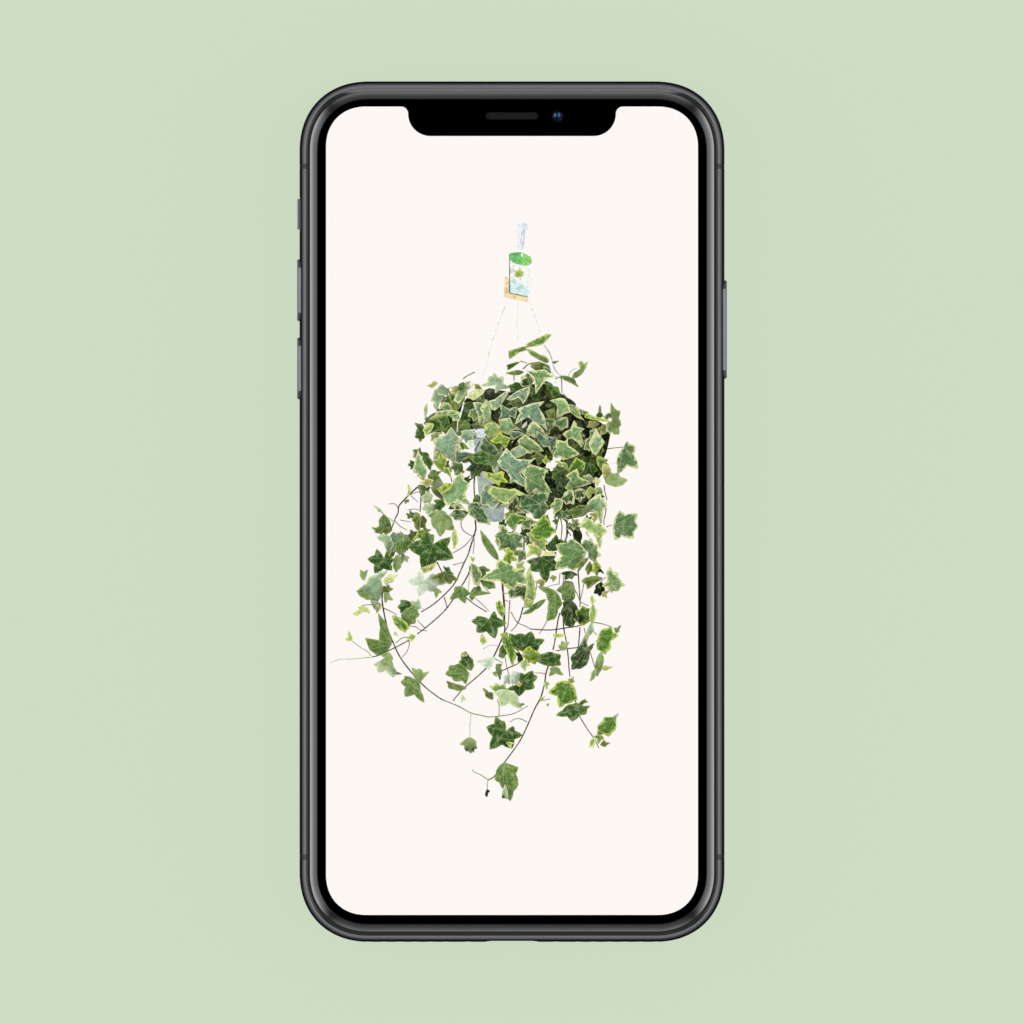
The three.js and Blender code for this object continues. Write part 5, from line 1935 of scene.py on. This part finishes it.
# Painted spots that shine on their own: a dim painted blue shine, a faint painted reflection of the ring at
# the lower right, and two painted highlights.
FRONT_PAINTED_GLINTS = [
    (-0.05, -0.1, 0.8, 0.62, shown(3, 12, 36)),
    (0.22, -0.3, 0.3, 0.3, shown(9, 22, 46)),
    (0.42, -0.72, 0.36, 0.24, shown(30, 30, 30)),
    (-0.42, 0.13, 0.19, 0.36, shown(84, 116, 146)),
    (0.24, 0.16, 0.26, 0.4, shown(62, 98, 146)),
]
FRONT_LENS = lens_coating("front_lens_coating_painted_glints", FRONT_CAMERA_X, SENSOR_ROW_Y, 1.0, FRONT_PAINTED_GLINTS)
print("Lens coatings are painted from the lens's own centre")


# %% Camera shapes
LENS_STEPS = 7


def camera(name, centre, outer, steps, lens_radius, bulge, up):
    """One loft: outer is (radius, z) pairs outside, steps are pairs going in, then the domed lens."""
    rings = [flat(circle(radius, centre), z) for radius, z in outer + steps]
    lens_z = steps[-1][1]
    for i in range(1, LENS_STEPS + 1):
        turn = i / LENS_STEPS * math.radians(87)
        rings.append(flat(circle(lens_radius * math.cos(turn), centre), lens_z + up * bulge * math.sin(turn)))
    return loft(name, rings)


def dress_camera(piece, centre, lens_radius, lens_material, rim_radius):
    """Faces in the middle get the lens's coating, those beyond the rim metal, and the steps between black."""
    for material in (BARREL_BLACK, lens_material, BEZEL_METAL):
        piece.data.materials.append(material)
    for face in piece.data.polygons:
        away = math.dist((face.center.x / MM, face.center.y / MM), centre)
        face.material_index = 1 if away < lens_radius else 2 if away > rim_radius else 0
    return piece


front_low, front_high, front_size = size_of("front_camera")
FRONT_CENTRE = (FRONT_CAMERA_X, SENSOR_ROW_Y)
FRONT_LENS_RADIUS = 0.94
front_camera = camera(
    "front_camera_barrel", FRONT_CENTRE, [(2.3, front_low.z), (2.3, 5.2), (1.0, 5.2), (1.0, front_high.z)],
    [(0.98, front_high.z), (FRONT_LENS_RADIUS, front_high.z - 0.12)], FRONT_LENS_RADIUS, 0.1, 1)
dress_camera(front_camera, FRONT_CENTRE, FRONT_LENS_RADIUS, FRONT_LENS, 9)
finish(front_camera, BARREL_BLACK, "front_camera")

for node in ("rear_camera_wide", "rear_camera_tele"):
    low, high, size = size_of(node)
    centre, radius = ((low.x + high.x) / 2, (low.y + high.y) / 2), size.x / 2
    rear = camera(
        node + "_barrel", centre, [(radius, high.z), (radius, low.z)],
        [(3.7, low.z), (3.6, low.z + 0.12), (3.25, low.z + 0.12), (3.1, low.z + 0.5), (2.6, low.z + 0.55),
         (2.4, low.z + 0.9), (2.0, low.z + 0.95), (1.9, low.z + 1.3)], 1.9, 0.45, -1)
    coating = lens_coating(node + "_coating", *centre, 1.9)
    finish(dress_camera(rear, centre, 1.9, coating, 3.65), BARREL_BLACK, node)
print("Front camera and two rear cameras made")

# %% [markdown]
# The rear cameras sit behind one black window in a polished ring. The window has clear ports over the
# lenses and the flash. The flash is a small lens with ridges over a yellow light source.

# %% Ring, window and flash
PORT_RADIUS = 3.55
flash_low, flash_high, flash_size = size_of("rear_flash")
FLASH_CENTRE = ((flash_low.x + flash_high.x) / 2, (flash_low.y + flash_high.y) / 2)
window_low, window_high, window_size = size_of("rear_camera_window")


def window_outline(grow=0.0):
    return stadium(window_size.x + 2 * grow, window_size.y + 2 * grow, REAR_CENTRE, steps=24)


bezel = loft("rear_camera_bezel", [
    flat(rear_outline(0), REAR_HIGH.z), flat(rear_outline(0), 0.1), flat(rear_outline(-0.04), 0.03),
    flat(rear_outline(-0.12), 0.0), flat(rear_outline(-0.4), 0.0), flat(window_outline(0.08), 0.05),
    flat(window_outline(0.05), 0.15), flat(window_outline(0.05), 0.62), flat(window_outline(-0.5), 0.66),
    flat(window_outline(-0.5), REAR_HIGH.z)], band=True)
finish(bezel, BEZEL_METAL, "rear_camera_ring")
window = prism(window_outline(), window_low.z, window_high.z)
window.name = window.data.name = "rear_camera_glass"
ports = [circle(PORT_RADIUS, ((size_of(node)[0].x + size_of(node)[1].x) / 2,
                              (size_of(node)[0].y + size_of(node)[1].y) / 2), steps=16)
         for node in ("rear_camera_wide", "rear_camera_tele")] + [circle(flash_size.x / 2, FLASH_CENTRE)]
cut(window, *[prism(port, BELOW, ABOVE) for port in ports])
finish(window, BLACK_GLASS, "rear_camera_window")
for i, port in enumerate(ports):
    pane = prism(port, window_low.z + 0.02, window_high.z - 0.05)
    pane.name = pane.data.name = f"rear_port_{i}"
    finish(pane, CLEAR_GLASS)


def flash_material():
    """Yellow phosphor behind ridged plastic: rings of light and dark round the middle."""
    material, tree, shader = new_material("flash_lens")
    away, parts = distance_from(tree, *FLASH_CENTRE)
    rings = maths(tree, "SINE", maths(tree, "MULTIPLY", away, 26.0))
    middle = between(tree, away, 0.5, 0.75, 1.0, 0.0)
    color = blend_colors(tree, middle, (0.55, 0.54, 0.5), (0.75, 0.6, 0.16))
    color = blend_colors(tree, between(tree, rings, -0.4, 0.6, 0.0, 0.3), color, (0.9, 0.88, 0.8))
    varied = use_group(
        tree, VARIATION, Color=color, Color_Spread=0.1, Roughness=0.25, Roughness_Spread=0.1, Scale=800.0)
    tree.links.new(varied["Color"], shader.inputs["Base Color"])
    tree.links.new(varied["Roughness"], shader.inputs["Roughness"])
    return material


FLASH_RIDGES = 5
flash_ring = circle(flash_size.x / 2, FLASH_CENTRE)
rings = [flat(flash_ring, flash_high.z), flat(flash_ring, 0.72)]
for i in range(FLASH_RIDGES):
    radius = flash_size.x / 2 * (1 - (i + 0.5) / (FLASH_RIDGES + 0.5))
    rings.append(flat(circle(radius + 0.06, FLASH_CENTRE), 0.84))
    rings.append(flat(circle(radius, FLASH_CENTRE), 0.72))
finish(loft("rear_flash_lens", rings), flash_material(), "rear_flash")
print("Ring, window with", len(ports), "ports and flash made")

# %% [markdown]
# ## Card tray and charging socket
#
# The tray's face is a slice of the rail itself, so it closes the side without a step, with the small
# hole for the pin that ejects it. Behind the face the tray is a thin frame. In the socket, gilded
# contacts lie on both sides of the tongue.

# %% Card tray
TRAY_PIN_RADIUS = 0.45
tray_low, tray_high, tray_size = size_of("card_tray")
TRAY_Y = (tray_low.y + tray_high.y) / 2
TRAY_SHELF = (11.2, 1.1)
PIN_SIDE = -6
cut(tray_face, side_prism(circle(TRAY_PIN_RADIUS, (TRAY_Y + PIN_SIDE, MIDDLE_Z)), 1))
# The tray's face takes the rail's painted shade round the middle of the side.
finish(tray_face, RAIL_METAL, "card_tray", body="tray")
shelf_x = (tray_low.x, HALF_WIDTH - RAIL_INSET + 0.1)
shelf_centre = ((shelf_x[0] + shelf_x[1]) / 2, TRAY_Y)
shelf_outline = soft_rectangle(shelf_x[1] - shelf_x[0], TRAY_SHELF[0], 0.8, shelf_centre, steps=6)
shelf = prism(shelf_outline, MIDDLE_Z - TRAY_SHELF[1] / 2, MIDDLE_Z + TRAY_SHELF[1] / 2)
shelf.name = shelf.data.name = "card_tray_frame"
pocket = soft_rectangle(shelf_x[1] - shelf_x[0] - 4.5, TRAY_SHELF[0] - 1.6, 0.8,
                        (shelf_centre[0] - 0.9, TRAY_Y), steps=6)
cut(shelf, prism(pocket, MIDDLE_Z - TRAY_SHELF[1] / 2 + 0.35, ABOVE))
finish(shelf, BEZEL_METAL, body="tray")

# %% Socket contacts
CONTACTS = 8
CONTACT_STEP = 0.72
CONTACT_SIZE = (0.38, 1.9)
GILT = surface("gilt", (0.75, 0.52, 0.18), 0.25, 1.0, spread=0.15, scale=900.0, grain=0.05)
TONGUE_TIP = 1.4 - HALF_HEIGHT
for side in (-1, 1):
    contacts = []
    for i in range(CONTACTS):
        x = (i - (CONTACTS - 1) / 2) * CONTACT_STEP
        pad = soft_rectangle(*CONTACT_SIZE, 0.12, (x, TONGUE_TIP + 0.5 + CONTACT_SIZE[1] / 2), steps=4)
        smaller = [(x + (px - x) * 0.8, py) for px, py in pad]
        root, top = MIDDLE_Z + side * 0.33, MIDDLE_Z + side * 0.4
        contacts.append(loft("contact", [flat(pad, root), flat(pad, top - side * 0.02), flat(smaller, top)]))
    finish(join(contacts, "socket_contacts_" + ("back" if side < 0 else "front")), GILT)
print(CONTACTS, "contacts on each side of the tongue")

# %% [markdown]
# ## Pieces inside
#
# Most of what is inside keeps the CAD shape and is never seen through the black print and the screen,
# but each piece still has the finish of the real one: wound copper, foil, solder mask, stamped steel.

# %% Patterned finishes
def coil_material():
    """Copper wire wound in a flat spiral: its turns are rings round the coil's middle."""
    material, tree, shader = new_material("coil_windings")
    away, parts = distance_from(tree, 0, 0)
    turns = maths(tree, "SINE", maths(tree, "MULTIPLY", away, 2 * math.pi / 0.9))
    groove = between(tree, turns, -0.9, -0.2)
    # Painted shade: the grooves between the turns are a darker copper, with a bump as well.
    color = blend_colors(tree, groove, (0.16, 0.05, 0.02), (0.62, 0.25, 0.11))
    varied = use_group(
        tree, VARIATION, Color=color, Color_Spread=0.15, Roughness=0.3, Roughness_Spread=0.1, Scale=400.0)
    bump = add_node(tree, "Bump", {"Height": groove, "Strength": 0.5, "Distance": 0.0002})
    tree.links.new(varied["Color"], shader.inputs["Base Color"])
    tree.links.new(varied["Roughness"], shader.inputs["Roughness"])
    tree.links.new(bump.outputs["Normal"], shader.inputs["Normal"])
    shader.inputs["Metallic"].default_value = 1.0
    return material


def board_material():
    """Solder mask over copper: pads in cells of different sizes, and fine tracks between them."""
    material, tree, shader = new_material("board_mask")
    place = add_node(tree, "TexCoord").outputs["Object"]
    voronoi = add_node(tree, "TexVoronoi", {"Vector": place, "Scale": 700.0}, distance="CHEBYCHEV")
    cells = voronoi.outputs["Distance"]
    tracks = add_node(tree, "TexVoronoi", {"Vector": place, "Scale": 260.0}, feature="DISTANCE_TO_EDGE",)
    color = blend_colors(tree, between(tree, tracks.outputs["Distance"], 0.02, 0.06, 1.0, 0.0),
                         (0.006, 0.03, 0.04), (0.02, 0.075, 0.085))
    color = blend_colors(tree, between(tree, cells, 0.12, 0.16, 1.0, 0.0), color, (0.5, 0.4, 0.2))
    varied = use_group(
        tree, VARIATION, Color=color, Color_Spread=0.15, Roughness=0.4, Roughness_Spread=0.1, Scale=500.0)
    tree.links.new(varied["Color"], shader.inputs["Base Color"])
    tree.links.new(varied["Roughness"], shader.inputs["Roughness"])
    return material


def grille_material():
    """Woven wire in the earpiece: the holes between crossing threads are painted shade, a darker colour."""
    material, tree, shader = new_material("grille_weave")
    place = add_node(tree, "TexCoord").outputs["Object"]
    parts = add_node(tree, "SeparateXYZ", {0: place}).outputs
    turns = 2 * math.pi / (THREAD_PITCH * MM)
    threads = [maths(tree, "SINE", maths(tree, "MULTIPLY", parts[axis], turns)) for axis in "XY"]
    weave = maths(tree, "MULTIPLY", *threads)
    # Painted shade: the holes between the threads are a darker colour, not openings.
    color = blend_colors(tree, between(tree, weave, 0.1, 0.7), GRILLE_THREAD, GRILLE_HOLE_SHADE)
    varied = use_group(
        tree, VARIATION, Color=color, Color_Spread=0.2, Roughness=0.6, Roughness_Spread=0.2, Scale=900.0)
    bump = add_node(tree, "Bump", {"Height": weave, "Strength": 0.2, "Distance": 0.00005})
    tree.links.new(varied["Color"], shader.inputs["Base Color"])
    tree.links.new(varied["Roughness"], shader.inputs["Roughness"])
    tree.links.new(bump.outputs["Normal"], shader.inputs["Normal"])
    shader.inputs["Specular IOR Level"].default_value = 0.12
    return material


THREAD_PITCH = 0.24
GRILLE_THREAD = (0.026, 0.026, 0.027)
GRILLE_HOLE_SHADE = (0.008, 0.008, 0.0085)

# %% Finishes of the pieces that keep their CAD shape
STEEL = surface("stamped_steel", (0.5, 0.5, 0.52), 0.32, 1.0, spread=0.1, scale=500.0, grain=0.12)
SHIELD = surface(
    "shield_steel", (0.42, 0.42, 0.43), 0.38, 1.0, spread=0.12, scale=260.0, grain=0.2, stretch=(1, 9, 1))
MODULE_BLACK = surface("module_black", (0.02, 0.02, 0.022), 0.55, spread=0.2, scale=600.0, grain=0.25)
SPEAKER_PLASTIC = surface("speaker_plastic", (0.03, 0.03, 0.032), 0.5, spread=0.2, scale=500.0, grain=0.3)
BATTERY_FOIL = surface("battery_foil", (0.022, 0.022, 0.026), 0.42, 0.1, spread=0.35, scale=120.0, grain=0.5,
                       grain_scale=900.0)
CHASSIS = surface(
    "chassis_metal", (0.36, 0.36, 0.37), 0.36, 1.0, spread=0.1, scale=220.0, grain=0.25, stretch=(14, 1, 1))
CARRIER = surface("carrier_frame", (0.05, 0.05, 0.052), 0.5, spread=0.2, scale=500.0, grain=0.2)
ADHESIVE = surface("adhesive_film", (0.012, 0.012, 0.012), 0.8, spread=0.4, scale=700.0, grain=0.4)
KEPT_NODES = {
    "screen_panel": SCREEN_LIGHT, "screen_carrier": CARRIER, "earpiece_grille": grille_material(),
    "back_adhesive": ADHESIVE, "chassis_plate": CHASSIS, "charging_coil": coil_material(),
    "battery_main": BATTERY_FOIL, "battery_lower": BATTERY_FOIL, "logic_board": board_material(),
    "board_shield_upper": SHIELD, "board_shield_lower": SHIELD, "vibration_motor": STEEL,
    "loudspeaker": SPEAKER_PLASTIC, "earpiece_speaker": SPEAKER_PLASTIC, "dot_projector": MODULE_BLACK,
    "infrared_camera": MODULE_BLACK, "key_contacts_left": STEEL, "key_contacts_right": STEEL,
    "card_reader": SHIELD, "charging_socket": STEEL, "bottom_screw_left": STEEL, "bottom_screw_right": STEEL,
}
for node, material in KEPT_NODES.items():
    kept = frame["nodes"][node]
    for slot in kept.material_slots:
        slot.material = material
print(len(KEPT_NODES), "nodes keep their CAD shape")

# %% [markdown]
# ## Floor and light
#
# The phone lies on plain pale green paper that shows no shadow, so the paper shines a little itself.
# The glass must not mirror anything bright into the camera, so the studio is dark straight above. Long
# soft lights stand low on the left and right, and weaker ones at the two ends.

# %% Floor and light
def make_floor():
    select_none()
    bpy.ops.mesh.primitive_plane_add(size=4, location=(0, 0, -FLOOR_GAP))
    floor = bpy.context.object
    floor.name = "floor"
    material, tree, shader = new_material("floor_paper")
    tone = use_group(
        tree, VARIATION, Color=FLOOR_COLOR, Color_Spread=0.01,
        Roughness=0.9, Roughness_Spread=0.05, Scale=8.0)
    own = add_node(tree, "VectorMath", {0: tone["Color"], "Scale": FLOOR_SHARE}, operation="SCALE")
    tree.links.new(own.outputs[0], shader.inputs["Base Color"])
    tree.links.new(tone["Color"], shader.inputs["Emission Color"])
    shader.inputs["Emission Strength"].default_value = FLOOR_GLOW
    material.cycles.emission_sampling = "NONE"
    shader.inputs["Roughness"].default_value = 0.9
    shader.inputs["Specular IOR Level"].default_value = 0.0
    floor.data.materials.append(material)
    return floor


FLOOR_GAP = 0.00005
FLOOR_COLOR = (0.597, 0.694, 0.527)
FLOOR_SHARE = 0.16
FLOOR_GLOW = 0.95
make_floor()


SIDE_LIGHT = 1.62
END_LIGHT = 0.55


def make_light():
    """A studio dome: dark overhead, bright low on the left and right, dimmer at the top and bottom."""
    world = bpy.data.worlds.new("studio")
    bpy.context.scene.world = world
    world.use_nodes = True
    tree = world.node_tree
    background = tree.nodes["Background"]
    direction = add_node(tree, "TexCoord").outputs["Generated"]
    axes = add_node(tree, "SeparateXYZ", {0: direction}).outputs
    height = ramp(tree, axes["Z"], [
        (0.0, 0.95), (0.34, 1.0), (0.71, 0.55), (0.906, 0.28), (0.978, 0.24), (0.995, 0.0)])
    level = maths(tree, "SQRT", maths(tree, "ADD", maths(tree, "MULTIPLY", axes["X"], axes["X"]),
                                      maths(tree, "MULTIPLY", axes["Y"], axes["Y"])))
    sideways = maths(tree, "DIVIDE", maths(tree, "ABSOLUTE", axes["X"]), maths(tree, "MAXIMUM", level, 0.001))
    endways = maths(tree, "DIVIDE", maths(tree, "ABSOLUTE", axes["Y"]), maths(tree, "MAXIMUM", level, 0.001))
    lobes = maths(tree, "ADD", between(tree, sideways, 0.62, 0.95, 0.0, SIDE_LIGHT),
                  between(tree, endways, 0.7, 0.97, 0.0, END_LIGHT))
    lobes = maths(tree, "ADD", lobes, 0.03)
    color = add_node(tree, "VectorMath", {0: height, "Scale": lobes}, operation="SCALE")
    tree.links.new(color.outputs[0], background.inputs["Color"])
    background.inputs["Strength"].default_value = 1.05


make_light()
print("Floor and studio light made")
